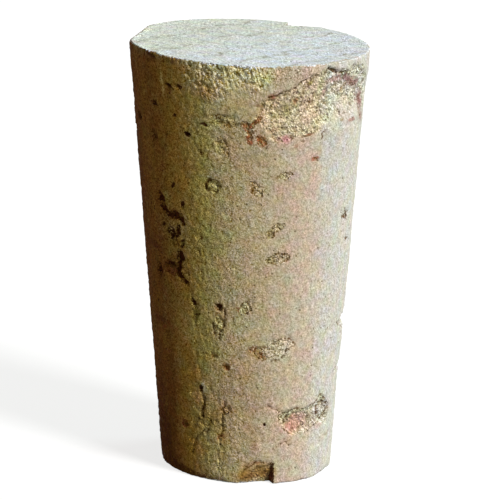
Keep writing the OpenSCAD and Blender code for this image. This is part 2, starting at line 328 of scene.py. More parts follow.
# Steep-walled lenticels: angle, height, length, width, tilt, depth, and from 0 to 1 how dark,
# crumbly and rusty they are
LENTICELS = (
    (-10.5, 39.5, 3.6, 1.6, -12, 0.08, 0.4, 0.45, 0.05),
    (-12, 36.8, 2.6, 1, -52, 0.1, 0.32, 0.45, 0),
    (-11.3, 37.2, 0.8, 0.3, -50, 0.2, 0.7, 0.2, 0.3),
    (-0.4, 39.2, 1.5, 0.8, -12, 0.14, 0.2, 0.8, 1),
    (1.6, 38.5, 2, 0.8, -80, 0.16, 0.25, 0.6, 1),
    (1.3, 37.7, 1.1, 0.6, 30, 0.14, 0.2, 0.5, 1),
    (4.6, 39.6, 1.5, 0.5, 45, 0.1, 0.05, 0.8, 0.9),
    (7.6, 37.6, 1.6, 0.8, -35, 0.16, 0.2, 0.9, 0.9),
    (10.5, 36.9, 0.7, 0.3, -50, 0.2, 0.7, 0.3, 0.4),
    (-17.8, 32.5, 2.1, 1.4, 0, 0.3, 0.12, 1, 0),
    (5, 32.5, 2, 1.2, -50, 0.25, 0.18, 0.9, 0.15),
    (20, 33.9, 1.9, 0.8, 6, 0.22, 0.3, 1, 0),
    (17, 28.4, 1.7, 0.9, 20, 0.3, 0.25, 0.9, 0.15),
    (13, 27.6, 1.3, 0.8, 55, 0.3, 0.25, 0.9, 0.15),
    (18, 25, 2.9, 1.2, 8, 0.3, 0.28, 1, 0.05),
    (-42, 31.8, 0.8, 0.5, 40, 0.3, 0.9, 0.1, 0.2),
    (-51.3, 30, 1.8, 0.6, -65, 0.35, 0.85, 0.4, 0.2),
    (-48.8, 28.9, 1.8, 0.7, -38, 0.4, 0.9, 0.4, 0.3),
    (-45.4, 28.6, 1.4, 0.5, 6, 0.4, 0.9, 0.4, 0.5),
    (-40.6, 28.7, 1.8, 0.9, -10, 0.4, 0.75, 0.5, 0.8),
    (-37, 28.4, 1.5, 0.8, -70, 0.4, 0.85, 0.4, 0.6),
    (-35.6, 30, 0.8, 0.3, 80, 0.3, 0.8, 0.2, 0.2),
    (-46.4, 26.9, 1.2, 0.4, 75, 0.35, 0.95, 0.2, 0.1),
    (-43.9, 26.5, 1.7, 0.45, 82, 0.4, 1, 0.2, 0.1),
    (-41, 26.8, 1.6, 0.42, 78, 0.4, 1, 0.2, 0.1),
    (-38.8, 27, 1.1, 0.36, 80, 0.35, 0.95, 0.2, 0.1),
    (-51.5, 27.2, 0.7, 0.4, 10, 0.3, 0.9, 0.1, 0.3),
    (-43, 25.6, 2, 0.7, -5, 0.3, 0.55, 0.7, 0.5),
    (-36.8, 25.7, 1.3, 0.4, 65, 0.45, 0.95, 0.1, 0.2),
    (-39.2, 24.1, 1.8, 1, 80, 0.5, 0.95, 0.2, 0.7),
    (-40.8, 23, 1.5, 0.8, 50, 0.5, 0.95, 0.2, 0.6),
    (-46.8, 23.1, 1.7, 0.7, 8, 0.45, 0.85, 0.2, 0.7),
    (-46.5, 22.4, 1.6, 0.9, 0, 0.25, 0.35, 0.6, 0.9),
    (-39.4, 22.1, 1.2, 0.5, -50, 0.4, 0.95, 0.3, 0.3),
    (-36.6, 21.6, 1.5, 0.5, -12, 0.45, 1, 0.2, 0.3),
    (-36.3, 22.6, 1.4, 1, -20, 0.3, 0.4, 0.9, 0.4),
    (-57.8, 21.9, 1.8, 0.8, 85, 0.4, 0.9, 0.1, 0.6),
    (-31, 19.5, 0.9, 0.4, -70, 0.4, 0.9, 0.1, 0.2),
    (-30, 18.4, 2.2, 0.9, 80, 0.25, 0.3, 0.8, 0.4),
    (-25, 26.7, 1, 0.3, -70, 0.2, 0.5, 0.4, 0.6),
    (-27.2, 25.3, 1.1, 0.3, -50, 0.2, 0.5, 0.4, 0.4),
    (-0.3, 19.5, 1.5, 1.3, 0, 0.28, 0.1, 1, 0.1),
    (-3.4, 19.4, 0.7, 0.5, 0, 0.15, 0.1, 0.6, 0.9),
    (-15.5, 19.4, 0.9, 0.7, 80, 0.6, 0.85, 0.1, 0.8),
    (-14.9, 17.6, 2.8, 0.9, -80, 0.28, 0.15, 1, 0.05),
    (-12, 8.1, 1.4, 1, 80, 0.25, 0.1, 1, 0.3),
    (59, 7.3, 2, 1.4, -12, 0.18, 0, 0.5, 0),
    (66, 28.5, 1.7, 0.6, -18, 0.28, 0.65, 0.6, 0.1),
    (-54.3, 36.7, 1.7, 1, -70, 0.3, 0.6, 0.5, 0.9),
    (-70, 38, 1, 0.6, 0, 0.45, 0.9, 0.1, 0.2),
    (-53, 40.2, 1.1, 0.4, 15, 0.3, 0.85, 0.1, 0.6),
    (-51, 40, 0.6, 0.3, 0, 0.2, 0.8, 0.1, 0.3),
    (-41, 42.4, 1, 0.4, -20, 0.3, 0.85, 0.2, 0.3),
    (-41.5, 41.6, 1.7, 0.6, 80, 0.2, 0.35, 0.6, 0.7),
    (-34.8, 42.6, 0.7, 0.4, 0, 0.25, 0.8, 0.1, 0.2),
    (-38, 39.5, 0.6, 0.3, 0, 0.2, 0.8, 0.1, 0.2),
    (-31, 37.6, 0.8, 0.6, -20, 0.5, 1, 0, 0),
    (-22, 38.9, 0.6, 0.4, 0, 0.25, 0.75, 0.1, 0.4),
    (-44, 37.1, 1.1, 0.3, 55, 0.2, 0.65, 0.2, 0.1),
    (-23.6, 35.9, 0.9, 0.3, -55, 0.2, 0.6, 0.2, 0.3),
    (71.5, 25.8, 1, 0.6, -15, 0.25, 0.6, 0.3, 0.1),
    (-11.6, 13, 0.9, 0.6, -45, 0.3, 0.25, 0.5, 1),
    (-19, 14, 1, 0.4, 10, 0.2, 0.4, 0.6, 0.6),
    (-41.5, 5.7, 1, 0.7, 0, 0.25, 0.5, 0.4, 1),
    (-15.8, 5.1, 0.8, 0.4, 60, 0.25, 0.25, 0.4, 1),
    (12.7, 6.7, 0.4, 0.36, 0, 0.3, 1, 0, 0),
    (9.3, 14.6, 2.6, 1.1, -25, 0.25, 0.05, 0.9, 0.3),
    (4.6, 15, 1.2, 0.6, 10, 0.25, 0.25, 0.6, 0.8),
    (18.5, 15, 4.4, 1.9, 20, 0.14, 0, 0.45, 0.05),
    (76, 14.2, 1.4, 0.3, -30, 0.15, 0.2, 0.3, 0.2),
    (-28.1, 10.15, 1, 0.3, 84, 0.6, 1, 0, 0),
    (-24, 6.5, 1.3, 0.5, 60, 0.25, 0.4, 0.8, 0.3),
    (92, 16.5, 9, 2, 0, 0.42, 0, 0.2, 0),
    (92, 11.3, 8, 1.1, 0, 0.3, 0, 0.2, 0),
    (78, 15.3, 2, 0.3, -10, 0.15, 0.25, 0.4, 0.1),
)

# Dark lines: width, depth and the points that they go through
LINES = (
    (0.1, 0.3, ((10, 42.2), (15, 42.4), (19, 42.8), (23, 43.1), (26, 43.7), (29, 44), (32, 44.1))),
    (0.22, 0.4, ((40, 44.4), (42, 44.9), (45, 44.7), (47.5, 44.5))),
    (0.14, 0.3, ((49.5, 44.3), (53, 44.2), (55.5, 44.3))),
    (0.12, 0.25, ((58, 44.3), (62, 44.8))),
    (0.12, 0.1, ((28, 37.5), (32, 37.5))),
    (0.18, 0.15, ((42.4, 38.3), (40.9, 38.1), (40.6, 37.5))),
    (0.2, 0.15, ((9, 15.2), (16, 15.6), (21, 16.1), (27, 16.2), (30, 15.6))),
    (0.16, 0.1, ((30, 15.4), (25, 14.9), (22, 13.9), (16, 13.7))),
    (0.16, 0.1, ((35.6, 35.6), (38.6, 35.3))),
    (0.14, 0.1, ((28.5, 38), (32, 38.15), (35.5, 38.25))),
    (0.08, 0.12, ((12, 8.6), (15, 8.8), (18, 8.4), (22, 8.3))),
    (0.1, 0.15, ((23.5, 6.4), (26, 6.9), (29, 7.8))),
    (0.11, 0.16, ((22, 7.8), (26, 7.9), (34, 8.3), (43, 8.1), (49, 8.5), (55, 9.2), (61, 8.6))),
    (0.12, 0.1, ((22, 7.8), (22, 6.9), (24, 6.3), (29, 5.5))),
    (0.12, 0.12, ((18, 4), (22, 4.4), (27, 4.6), (29.5, 4.3))),
    (0.2, 0.2, ((53.5, 7.9), (53.5, 7.3), (54.5, 6.9))),
    (0.14, 0.2, ((56, 6.6), (60, 6.35), (62.5, 6.5))),
    (0.13, 0.18, ((57, 8.5), (60, 8.4), (63, 8), (65, 7.4), (63, 6.6))),
    (0.26, 0.22, ((-18.6, 33.15), (-20.6, 33), (-21.6, 32.5), (-20.8, 32.1))),
    (0.12, 0.12, ((-20.8, 32.1), (-19, 31.9), (-16.6, 31.8), (-15.2, 32.1))),
    (0.14, 0.12, ((-12.5, 19.2), (-12, 18.4), (-13.2, 17.2), (-15, 16.7), (-16, 15.9))),
    (0.1, 0.1, ((-19.3, 17.7), (-18.6, 17), (-17.8, 16.2))),
    (0.12, 0.1, ((-2.9, 19.4), (-2.7, 20), (0.2, 20.3), (3.1, 20.1), (2.3, 19.3), (0.2, 18.8))),
    (0.11, 0.4, ((-27.6, 9.8), (-26.8, 9.1), (-26.6, 8.4), (-27.3, 7.8))),
    (0.16, 0.4, ((-27.8, 8), (-28.1, 7.1))),
    (0.1, 0.12, ((-13.4, 8.9), (-14, 7.6), (-14.3, 6.4), (-15.2, 5.6))),
    (0.08, 0.1, ((-16.2, 4.6), (-17.2, 3.6), (-18.2, 2.4))),
    (0.1, 0.12, ((-21.6, 6.9), (-23.4, 6), (-26, 5.2))),
    (0.05, 0.14, ((-27, 5.6), (-31, 4.8), (-35, 3.9), (-37.5, 2.6))),
    (0.14, 0.1, ((60.5, 29.1), (62.5, 28.4))),
    (0.12, 0.1, ((65, 29.3), (68, 28.5), (70.5, 28.9))),
    (0.12, 0.08, ((50.5, 16.8), (54.1, 16.9))),
    (0.12, 0.08, ((68.4, 16.2), (73, 16.4), (79, 15.9))),
    (0.18, 0.14, ((-2, 1.2), (1, 1.8), (7, 2.4), (14.4, 2.4), (19, 2.2))),
)

# Outlines of the crumbled places
HOLLOW = (
    (4, 40.2), (5, 41.2), (10, 42.2), (19, 42.8), (26, 43.7), (30, 44.3), (38, 44.5), (46, 44.7),
    (57, 44.4), (65, 44.9), (73, 44.2), (81, 43), (84, 40), (80, 37.8), (69, 38), (57, 38.2),
    (47, 38.3), (40, 38.2), (33, 38.1), (26, 37.9), (20, 37.3), (14, 37.5), (10, 38.4), (6, 39.5),
)
PATCH = (
    (20, 8.4), (26, 8.2), (34, 8.2), (43, 8.1), (49, 8.4), (55, 9.1), (62, 8.6), (66, 7.6), (66, 6.4),
    (64, 5.4), (57, 6), (50, 6), (44, 5.4), (36, 5.2), (29, 5.4), (24, 6.2), (22, 7),
)

# Places whose surface is crumbly: angle, height, width, height of the place, how crumbly
GRIT = (
    (-27, 6.7, 3.2, 1.7, 0.9), (-33, 5.9, 2.4, 1.3, 0.7), (-39, 3.6, 1.8, 3.6, 0.7),
    (-36, 9.2, 2.2, 2, 0.5), (-14, 7, 0.8, 3, 0.8), (-16, 4.6, 0.7, 2.6, 0.7),
    (-17.5, 1.8, 1, 2.2, 0.7), (-22, 14.3, 3.2, 1, 0.6), (-43, 26.3, 2.8, 2.6, 0.7),
    (-37.5, 22.5, 1.8, 1.4, 0.9), (-42, 24, 3.4, 3, 0.6), (-47, 22.3, 1.6, 1.2, 0.7),
    (-44, 30.2, 3.2, 2, 0.5), (-39, 25.6, 4, 2.2, 0.5), (-27, 26, 3, 3, 0.4), (-26, 38, 4, 5, 0.35),
    (-38, 42.5, 3, 2, 0.6), (-40.5, 41.3, 1.4, 1.6, 0.6), (-54, 36.8, 1.6, 2, 0.5),
    (-30, 17.6, 1.4, 3.4, 0.5), (-10.5, 39.5, 3.4, 1.5, 0.9), (-12.5, 36.9, 1.6, 2.2, 0.8),
    (-59, 16.5, 3, 1.2, 0.5),
)

# Coloured dust, by the name of its colour: angle, height, width, height of the place, strength. Some
# pit rows are painted shade and some cream and straw rows painted highlight, as marked below
DUST_AND_PAINTED_LIGHT = {
    "pink": (
        (19.5, 37.8, 1.9, 0.9, 1), (9, 40.6, 1.4, 2.8, 0.5), (13, 38.8, 1.4, 1.4, 0.45),
        (45, 43.7, 2.6, 1, 0.55), (42, 42.5, 1.2, 1.6, 0.5), (66, 43.2, 2, 1.2, 0.5),
        (78, 40.5, 1.6, 2.2, 0.55), (33, 6.3, 2.4, 1.7, 1), (38, 7, 2.6, 1.5, 0.75),
        (54, 5.8, 2.4, 0.8, 0.5), (24, 5.8, 1.2, 0.8, 0.4),
    ),
    "rust": (
        (12, 42.3, 1.3, 0.7, 1), (36.9, 35.45, 1.3, 0.4, 1.4), (6.8, 2.4, 1.4, 0.6, 0.9),
        (2, 1.6, 2, 0.7, 0.5), (12, 0.7, 1.6, 0.7, 0.4), (6, 41.3, 1.3, 0.9, 0.6),
        (4, 43, 0.7, 1.6, 0.4), (24.5, 41.7, 0.7, 1, 1), (32, 38.15, 1.6, 0.3, 0.9),
        (25.5, 37.1, 0.6, 0.7, 0.6), (64, 38.9, 1.5, 0.4, 0.5), (37, 40.2, 1.6, 0.9, 0.4),
        (-16, 34.6, 1, 0.5, 0.4), (30, 7.3, 1.6, 0.5, 0.5), (1, 9, 1.6, 1.6, 0.25),
        (-52, 13.2, 1.6, 0.7, 0.5), (-60, 12.9, 1.2, 0.7, 0.5), (-46, 16.2, 2.6, 0.7, 0.5),
        (-57, 15.9, 1.2, 0.4, 0.8), (-45, 22.6, 1.6, 1.4, 0.5), (-54.5, 37.4, 1.2, 1.2, 0.5),
        (-40.5, 41.8, 1.6, 1.4, 0.4), (-52, 39.8, 1.2, 0.8, 0.5),
    ),
    "plum": (
        (79, 39.5, 2.4, 3, 0.35), (72, 43.4, 2, 1, 0.4), (66, 4.4, 2.6, 0.35, 0.6),
        (72, 3.6, 2.4, 0.35, 0.5), (47, 43.9, 2.4, 0.8, 0.6), (56, 43.6, 2.4, 0.9, 1),
        (61, 43, 1.8, 0.9, 0.9), (67.5, 42.6, 2, 0.9, 1), (77, 40.8, 1.6, 2.2, 0.7),
        (79, 38.6, 1.4, 1.4, 0.5), (64, 38.9, 2.2, 0.4, 1.2), (72, 41.3, 2.2, 2, 0.4),
    ),
    "umber": (
        (0.5, 0.8, 2.2, 1.2, 0.9), (9, 1.5, 3.6, 1.8, 0.8), (15, 1.2, 1.6, 2, 0.6),
        (8.4, 14.6, 2.8, 1.3, 0.9), (-10.5, 39.4, 3.2, 1.3, 0.5), (-11, 36.8, 1.4, 1.6, 0.45),
        (55, 42.4, 1.4, 1.4, 0.7), (60, 41.2, 1.2, 1.2, 0.5), (35, 39.9, 2.2, 1.2, 0.35),
        (-14, 5.6, 0.7, 5, 0.35), (-15.5, 7.5, 2.6, 12, 0.42), (-19, 42, 2.4, 2.2, 0.45),
        (-25, 16.5, 2.4, 4, 0.35), (-56, 32, 3.5, 12, 0.32), (-66, 35, 4, 6, 0.35),
        (-39, 4.2, 2.4, 3.6, 0.6), (-28, 7.2, 3.6, 1.8, 0.5), (-12.5, 8.2, 1.4, 1.6, 0.3),
        (-12, 43, 5, 3, 0.15), (-27, 43, 4, 3.6, 0.5), (-27, 37.5, 3, 3, 0.25),
    ),
    "cream": (
        # Painted highlight: the rows on the ridge by the slit (-26.4, 10.1) and on lenticels' rims
        # (-14.6, 35.9), (-21, 33.5)
        (-26.4, 10.1, 0.5, 2, 1), (-14.6, 35.9, 1.8, 0.4, 0.9), (-21, 33.5, 2, 0.4, 0.6),
        (-15, 16.6, 0.6, 0.8, 0.6), (24.5, 8.3, 1.4, 0.3, 0.5), (-3, 44.2, 1, 2.4, 0.5),
        (-5, 42, 2.4, 3, 0.3), (10, 40.6, 0.8, 2.6, 0.5), (48, 44.3, 2.4, 0.3, 0.7),
        (18.5, 15, 4, 1.7, 1.2), (15, 3.8, 3, 2.5, 0.4), (45, 3.8, 4.5, 2, 0.4), (-35, 28, 2.5, 5, 0.3),
        (20, 40.4, 9, 4, 0.4), (-3, 17, 3.4, 3.6, 0.35), (46, 6.6, 6, 2.4, 0.45),
        (-14, 39.8, 1.6, 0.6, 0.5), (57, 40.5, 5, 4, 0.35),
    ),
    "pit": (
        # Painted shade at the lower left: the rows at (-84, 3) and (-74, 2.5)
        (-84, 3, 8, 14, 0.9), (-74, 2.5, 6, 10, 0.85), (-53.5, 45.2, 1.3, 0.7, 1.3),
        (-49.5, 45, 0.7, 0.5, 1), (-38.5, 45, 0.8, 0.5, 0.7), (-88, 44.6, 4, 1.6, 0.8),
        # Painted shade along the foot's bottom edge and under it: the rows at (-62, 0.2), (-34, 0),
        # (40, 0) and (17, 0.3)
        (-62, 0.2, 10, 1.7, 1.2), (-34, 0, 9, 0.9, 1), (40, 0, 6, 0.3, 0.9), (17, 0.3, 1, 0.5, 0.8),
        (53.8, 7.4, 0.6, 1.3, 1.1), (64.3, 7.4, 0.5, 1, 0.4), (6.5, 2.5, 0.9, 0.35, 0.7),
        (2, 1.5, 0.9, 0.4, 0.6), (16, 2.15, 1, 0.3, 0.6), (-20.9, 32.6, 0.4, 0.9, 1),
        # The tall row at (-77, 33) makes the far left darker
        (-77, 33, 2.4, 20, 0.4), (74, 38.6, 1.2, 1.6, 0.35), (32, 43.45, 0.6, 0.45, 1.4),
        (33.5, 41.4, 0.5, 0.4, 1.2), (55, 39.15, 0.7, 0.45, 1.4), (43, 44.75, 1, 0.3, 0.5),
        (-70, 38, 1.2, 0.9, 0.7), (-54, 36.3, 0.9, 0.9, 0.5), (-42, 42.5, 1.4, 0.7, 0.4),
        (-34.5, 42.7, 0.9, 0.8, 0.5),
    ),
    "straw": (
        # Painted highlight: the rows on the ridge (-45.5, 42.5) and on the pale lines (-35.5, 9.4),
        # (-34, 8.6)
        (-45.5, 42.5, 0.45, 3.2, 1), (-35.5, 9.4, 1.4, 0.6, 0.7), (-34, 8.6, 1.4, 0.5, 0.6),
        (-30, 7.4, 3, 1.6, 0.4), (-42.5, 24.2, 3, 2.6, 0.3), (-43.5, 27.6, 3.4, 1.6, 0.3),
        (-47, 30, 1.4, 2, 0.3), (-36, 16.5, 2.6, 5, 0.5), (-18, 43.6, 3.4, 3, 0.5),
        (-42.5, 26.8, 2.4, 1.8, 0.4), (-29, 16.5, 1.6, 3.6, 0.4),
    ),
    "rosy": (
        (4.5, 5, 1.7, 9, 0.7), (4, 11.5, 3.4, 9, 0.45), (-9, 9, 3, 8, 0.45), (5, 22, 5, 10, 0.35),
        (4, 35.5, 4.6, 4, 0.55), (-14, 20, 3, 6, 0.3), (-15, 11, 3, 6, 0.5),
    ),
    "maroon": (
        (-64, 9, 7, 10, 0.5), (0, 0.6, 1.8, 1, 0.55), (10, 1.2, 3, 2, 0.3), (-57, 21.5, 1.6, 1.8, 0.5),
        (-78, 30, 4.5, 40, 0.8), (-44, 28.6, 3.4, 1.6, 0.5), (-43, 26.6, 3, 2.4, 0.3),
        (-60, 16.5, 3.5, 0.9, 0.9), (-62, 24.5, 3, 0.9, 0.9), (-56, 25.6, 2.4, 0.6, 0.8),
        (-42, 23.5, 3.4, 3, 0.5), (-60.5, 32.9, 1.6, 0.6, 0.6), (-49, 22.9, 1.6, 1.2, 0.5),
    ),
    "olive": (
        (20, 40.8, 1.3, 1.8, 0.8), (27, 42.6, 3, 1.2, 0.4), (32.5, 43.6, 0.8, 0.5, 0.9),
        (55, 39.2, 0.7, 0.6, 0.7), (-31, 6.8, 3.6, 2.2, 0.6), (-46, 30.5, 1.5, 1.4, 0.6),
        (-16, 28, 6, 9, 0.35), (-24, 15.5, 3, 6, 0.3), (-4, 41, 3.4, 3, 0.4),
    ),
    "grey": (
        (58.8, 7.4, 2, 1.2, 1.2), (24, 35, 4, 4, 0.35),
    ),
    "blush": (
        (18.5, 15, 4.2, 1.8, 0.7), (46, 6.8, 6, 2.4, 0.45), (60, 40, 7, 4, 0.5),
    ),
}


# ---------------------------------------------------------------------------------------------
# Form of the stopper, in millimetres


class Side:
    """Points on the ground cone before anything is cut out of it.

    A point's place is the cone's middle at its height, plus the cone's radius there in the
    direction of its angle. The middle leans from the foot's to the head's, and the radius grows
    evenly from the foot's to the head's.
    """

    def __init__(self, sizes, angle, z):
        self.length = HEAD_AT[2] / MM
        self.angle, self.z = np.broadcast_arrays(angle, z)
        foot_r, head_r = sizes.foot_d / MM / 2, sizes.head_d / MM / 2
        up = self.z / self.length
        self.radius = foot_r + (head_r - foot_r) * up
        turn = np.radians(self.angle)
        self.out = np.stack([np.sin(turn), -np.cos(turn), 0 * turn], -1)
        self.middle = np.stack([HEAD_AT[0] / MM * up, 0 * up, self.z], -1)
        self.place = self.middle + self.radius[..., None] * self.out
        self.bend_x = BEND * layered(self.place, BEND_SIZE, 11)
        self.bend_y = BEND * layered(self.place, BEND_SIZE, 21)

    def away(self, angle, z, tilt=0.0):
        """Distances along and across a line through a place: the arc and the height from it, bent
        by noise and turned by the line's tilt."""
        turn = np.radians((self.angle - angle + 180) % 360 - 180)
        x = turn * self.radius + self.bend_x
        y = self.z - z + self.bend_y
        cos, sin = np.cos(np.radians(tilt)), np.sin(np.radians(tilt))
        return x * cos + y * sin, y * cos - x * sin

    def oval(self, angle, z, length, width, tilt=0.0):
        """Distance beyond a pointed oval's outline, below zero inside: the across distance as a
        share of half the width, plus the squared along distance as a share of half the length,
        less one, times half the width."""
        x, y = self.away(angle, z, tilt)
        return (np.abs(2 * y / width) + (2 * x / length) ** 2 - 1) * width / 2

    def cloud(self, angle, z, width, height):
        """1 in the middle of an oval and falling to 0 outside it, as a bell of its distances."""
        x, y = self.away(angle, z)
        return np.exp(-((2 * x / width) ** 2 + (2 * y / height) ** 2))

    def pieces(self, points):
        """For each straight piece between points given as (angle, height): how far along and up
        from its start a place on the side is, and how far along and up the piece goes."""
        middle = sum(angle for angle, _ in points) / len(points)
        x, y = self.away(middle, 0)
        for (angle, z), (next_angle, next_z) in zip(points, points[1:]):
            start, end = (np.radians(each - middle) * self.radius for each in (angle, next_angle))
            yield x - start, y - z, end - start, next_z - z

    def to_line(self, points):
        """Distance to the nearest of the straight pieces between the points."""
        nearest = np.full(self.z.shape, FAR)
        for x, y, run, rise in self.pieces(points):
            along = np.clip((x * run + y * rise) / (run**2 + rise**2), 0, 1)
            nearest = np.minimum(nearest, np.hypot(x - along * run, y - along * rise))
        return nearest

    def to_outline(self, points):
        """Distance beyond a closed outline, below zero inside. A place is inside where a level line
        to its right crosses the outline an odd number of times."""
        closed = tuple(points) + (points[0],)
        inside = np.zeros(self.z.shape, dtype=bool)
        for x, y, run, rise in self.pieces(closed):
            spans = (y >= min(0, rise)) & (y < max(0, rise))
            crossing = run * y / rise if rise else 0
            inside ^= spans & (x < crossing)
        return np.where(inside, -1, 1) * self.to_line(closed)


def cut_lenticels(side, marks):
    """Depth of the lenticels. Each point takes its marks from the nearest one: how far it is beyond
    the outline, and how dark, crumbly and rusty the lenticel is. The steep end of the foot's chip,
    which faces away from the key light, is painted as dark as an open pit: painted shade."""
    ragged = 0.09 * noise(side.place, 0.5, 37) + 0.05 * noise(side.place, 0.25, 38)
    pit = np.full(side.z.shape, FAR)
    looks = np.zeros(side.z.shape + (3,))
    cut = np.zeros(side.z.shape)
    for angle, z, length, width, tilt, deep, *look in LENTICELS + back_lenticels(side.length):
        beyond = side.oval(angle, z, length, width, tilt) + ragged
        filled = CRUMB_FILL * look[1]
        cut = np.maximum(cut, deep * (1 - filled) * ramp(beyond, 0.04, -0.16))
        looks[beyond < pit] = look
        pit = np.minimum(pit, beyond)
    off, half_wide, high = CHIP_WALL
    wall = np.abs(np.radians(side.angle - FOOT_CHIP[0] - off) * side.radius) - half_wide
    wall = np.maximum(wall, side.z - high)
    # The chip's steep wall takes the darkest pit colour as painted shade
    looks[wall < pit] = (1.0, 0.0, 0.0)
    marks["pit"] = np.minimum(pit, wall)
    marks["dark"], marks["gritty"], marks["rust"] = np.moveaxis(looks, -1, 0)
    marks["edge"] = np.maximum(ramp(marks["gritty"], 0.3, 0.9), ramp(marks["dark"], 0.4, 0.8))
    return cut


def cut_lines(side, marks):
    """Depth of the dark lines, and each point's distance beyond the nearest one's border."""
    line = np.full(side.z.shape, FAR)
    cut = np.zeros(side.z.shape)
    for width, deep, points in LINES:
        beyond = side.to_line(points) - width / 2
        cut = np.maximum(cut, deep * ramp(beyond, 0.12, -0.02))
        line = np.minimum(line, beyond)
    marks["line"] = line
    return cut


def cut_crumbled(side, sizes, marks):
    """Depth of the hollow and the patch, and how crumbly each point is: the most of what the hollow,
    the patch, the crumbly lenticels and the gritty places say. The hollow is smooth at its lower
    right and keeps whole spots, and the patch is calm in two places."""
    hollow, patch = side.to_outline(HOLLOW), side.to_outline(PATCH)
    bent = side.angle + BORDER_FRAY * side.bend_x
    smooth = ramp(bent, 36, 50) * ramp(side.z + 2 * side.bend_y, 41, 38.6)
    kept = 1 - 0.75 * smooth
    upper = 0.4 + 0.6 * ramp(side.z, 39.5, 41.5)
    shelf = 0.35 * ramp(hollow, 0.05, -0.3) * kept * upper + 0.65 * ramp(hollow, 0, -3)
    whole = 0.55 * ramp(layered(side.place, 2.2, 35), 0.1, 0.5) * ramp(hollow, 0, -0.8)
    calm = 0.6 * side.cloud(32, 6.2, 2.6, 1.8) + 0.8 * side.cloud(59, 7.3, 2.2, 1.4)
    marks["crumbled"] = np.maximum.reduce([
        (kept - whole) * ramp(hollow + 0.5 * noise(side.place, 0.7, 36), 0.3, -0.5),
        (1 - calm) * ramp(patch, 0.1, -0.15),
        marks["gritty"] * ramp(marks["pit"], 0.06, -0.12),
        *(share * side.cloud(*spot) for *spot, share in GRIT),
    ])
    hollow_cut = sizes.hollow_deep / MM * shelf
    return np.maximum(hollow_cut, sizes.patch_deep / MM * ramp(patch, 0.05, -0.6))


def cut_torn(side, sizes, marks):
    """Depth of the torn grain below the head: short narrow tears that lean down to the right, in a
    band whose lower border hangs down at TORN_LOWEST, and along the head's left edge."""
    lean_x, lean_y = side.away(0, 0, -70)
    tears = np.stack([lean_x / 0.7, lean_y / 0.3, side.z * 0], -1)
    bent = side.angle + BORDER_FRAY * side.bend_x
    lowest = 42.4 - 1.6 * bell(bent, *TORN_LOWEST)
    band = ramp(bent, -38, -22) * ramp(bent, 18, 4)
    band = band * ramp(side.z + 4 * side.bend_y, lowest - 0.8, lowest + 1.4)
    band = band * (1 - 0.85 * side.cloud(-4, 41.6, 3.6, 4.2))
    teeth = ramp(side.angle, -80, -60) * ramp(side.angle, 2, -10) * ramp(side.z, 44.4, 45.3)
    marks["band"] = band
    marks["torn"] = np.maximum(band, teeth)
    torn = marks["torn"] * ramp(layered(tears, 1.0, 41, 2), -0.1, 0.45)
    return sizes.torn_deep / MM * torn


def cut_ends(side, marks):
    """Depth of the chips out of the foot's front and the head's back, of the head's rubbed edge and
    of the foot's worn corner. The foot's chip is crumbly."""
    chip_top = np.interp(side.angle, (-2, 3, 8), (0.5, 1.3, 2.3)) + side.bend_y
    foot_chip = chip(side, *FOOT_CHIP) * ramp(side.z, chip_top, chip_top - 0.3)
    foot_chip = foot_chip * (0.35 + 0.65 * ramp(side.z, 2.2, 0.3))
    head_chip = chip(side, *HEAD_CHIP) * ramp(side.length - side.z + side.bend_y, 2.9, 1.9)
    marks["crumbled"] = np.maximum(marks["crumbled"], 0.6 * ramp(foot_chip, 0.0, 0.25))
    head_edge = rubbed(side, side.length - side.z, *RUBBED_EDGE)
    foot_corner = rubbed(side, side.z, *WORN_CORNER)
    return np.maximum.reduce([foot_chip, head_chip, head_edge, foot_corner])


def roughness(side, marks):
    """How rough the cork is, from 0 to 1: more on the old left side, under the torn band, in the
    crumbled places and round the pits, and little at one smooth spot."""
    left = ramp(side.angle, 30, -18) * ramp(side.angle, -178, -150)
    rough = np.maximum.reduce([
        0.5 * left + 0.4 * side.cloud(-43, 26, 5, 12),
        marks["band"],
        0.65 * marks["crumbled"],
        0.8 * ramp(side.z, 43, 44.5) * ramp(side.angle, 60, 0),
        0.9 * ramp(marks["pit"], 0.1, -0.05),
    ])
    smooth_spot = 0.9 * side.cloud(-3, 41.0, 4.2, 3.6)
    return rough * (1 - smooth_spot) + 0.25 * ramp(side.angle, -35, -55)


def relief(side, sizes):
    """How far the ground side lies below a true cone: slow waves, fine grain that is stronger on the
    left, and small pores, less how far the right side swells below the head and falls in lower down."""
    wave = sizes.wave_h / MM * layered(side.place, 5.0, 51)
    grain = sizes.grain_h / MM * layered(side.place, 0.45, 61)
    left = ramp(side.angle, 0, -30) * ramp(side.angle, -150, -90)
    pore, _, luck = crumbs(side.place, 1.1, 71)
    pores = 0.10 * ramp(pore, 0.14, 0.04) * (luck > 0.55)
    swell = 0.17 * ramp(side.z, 40.5, 43.5) - 0.11 * bell(side.z, 9, 4)
    return wave + grain * (1.5 + 0.5 * left) + pores - swell * bell(side.angle, 90, 24)


def cone_depths(side, sizes):
    """How deep the side is cut at each point, and its marks, which say what shows there.

    The depth is the ground side's own relief, plus the deepest of what is cut there, less the
    crumbs, which stand up where the side is crumbled.
    """
    marks = {}
    cut = np.maximum.reduce([
        cut_lenticels(side, marks),
        cut_lines(side, marks),
        cut_crumbled(side, sizes, marks),
        cut_torn(side, sizes, marks),
    ])
    marks["rough"] = roughness(side, marks)
    cut = np.maximum(cut, cut_ends(side, marks))
    nearest, second, share = crumbs(side.place, sizes.crumb_d / MM, 31)
    crumb = sizes.crumb_h / MM * (1.6 * ramp(nearest, 0.9, 0.1) * (0.4 + 0.6 * share) - 0.6)
    marks["gap"] = second - nearest
    marks["crumb"] = share
    return cut + relief(side, sizes) - marks["crumbled"] * crumb, marks


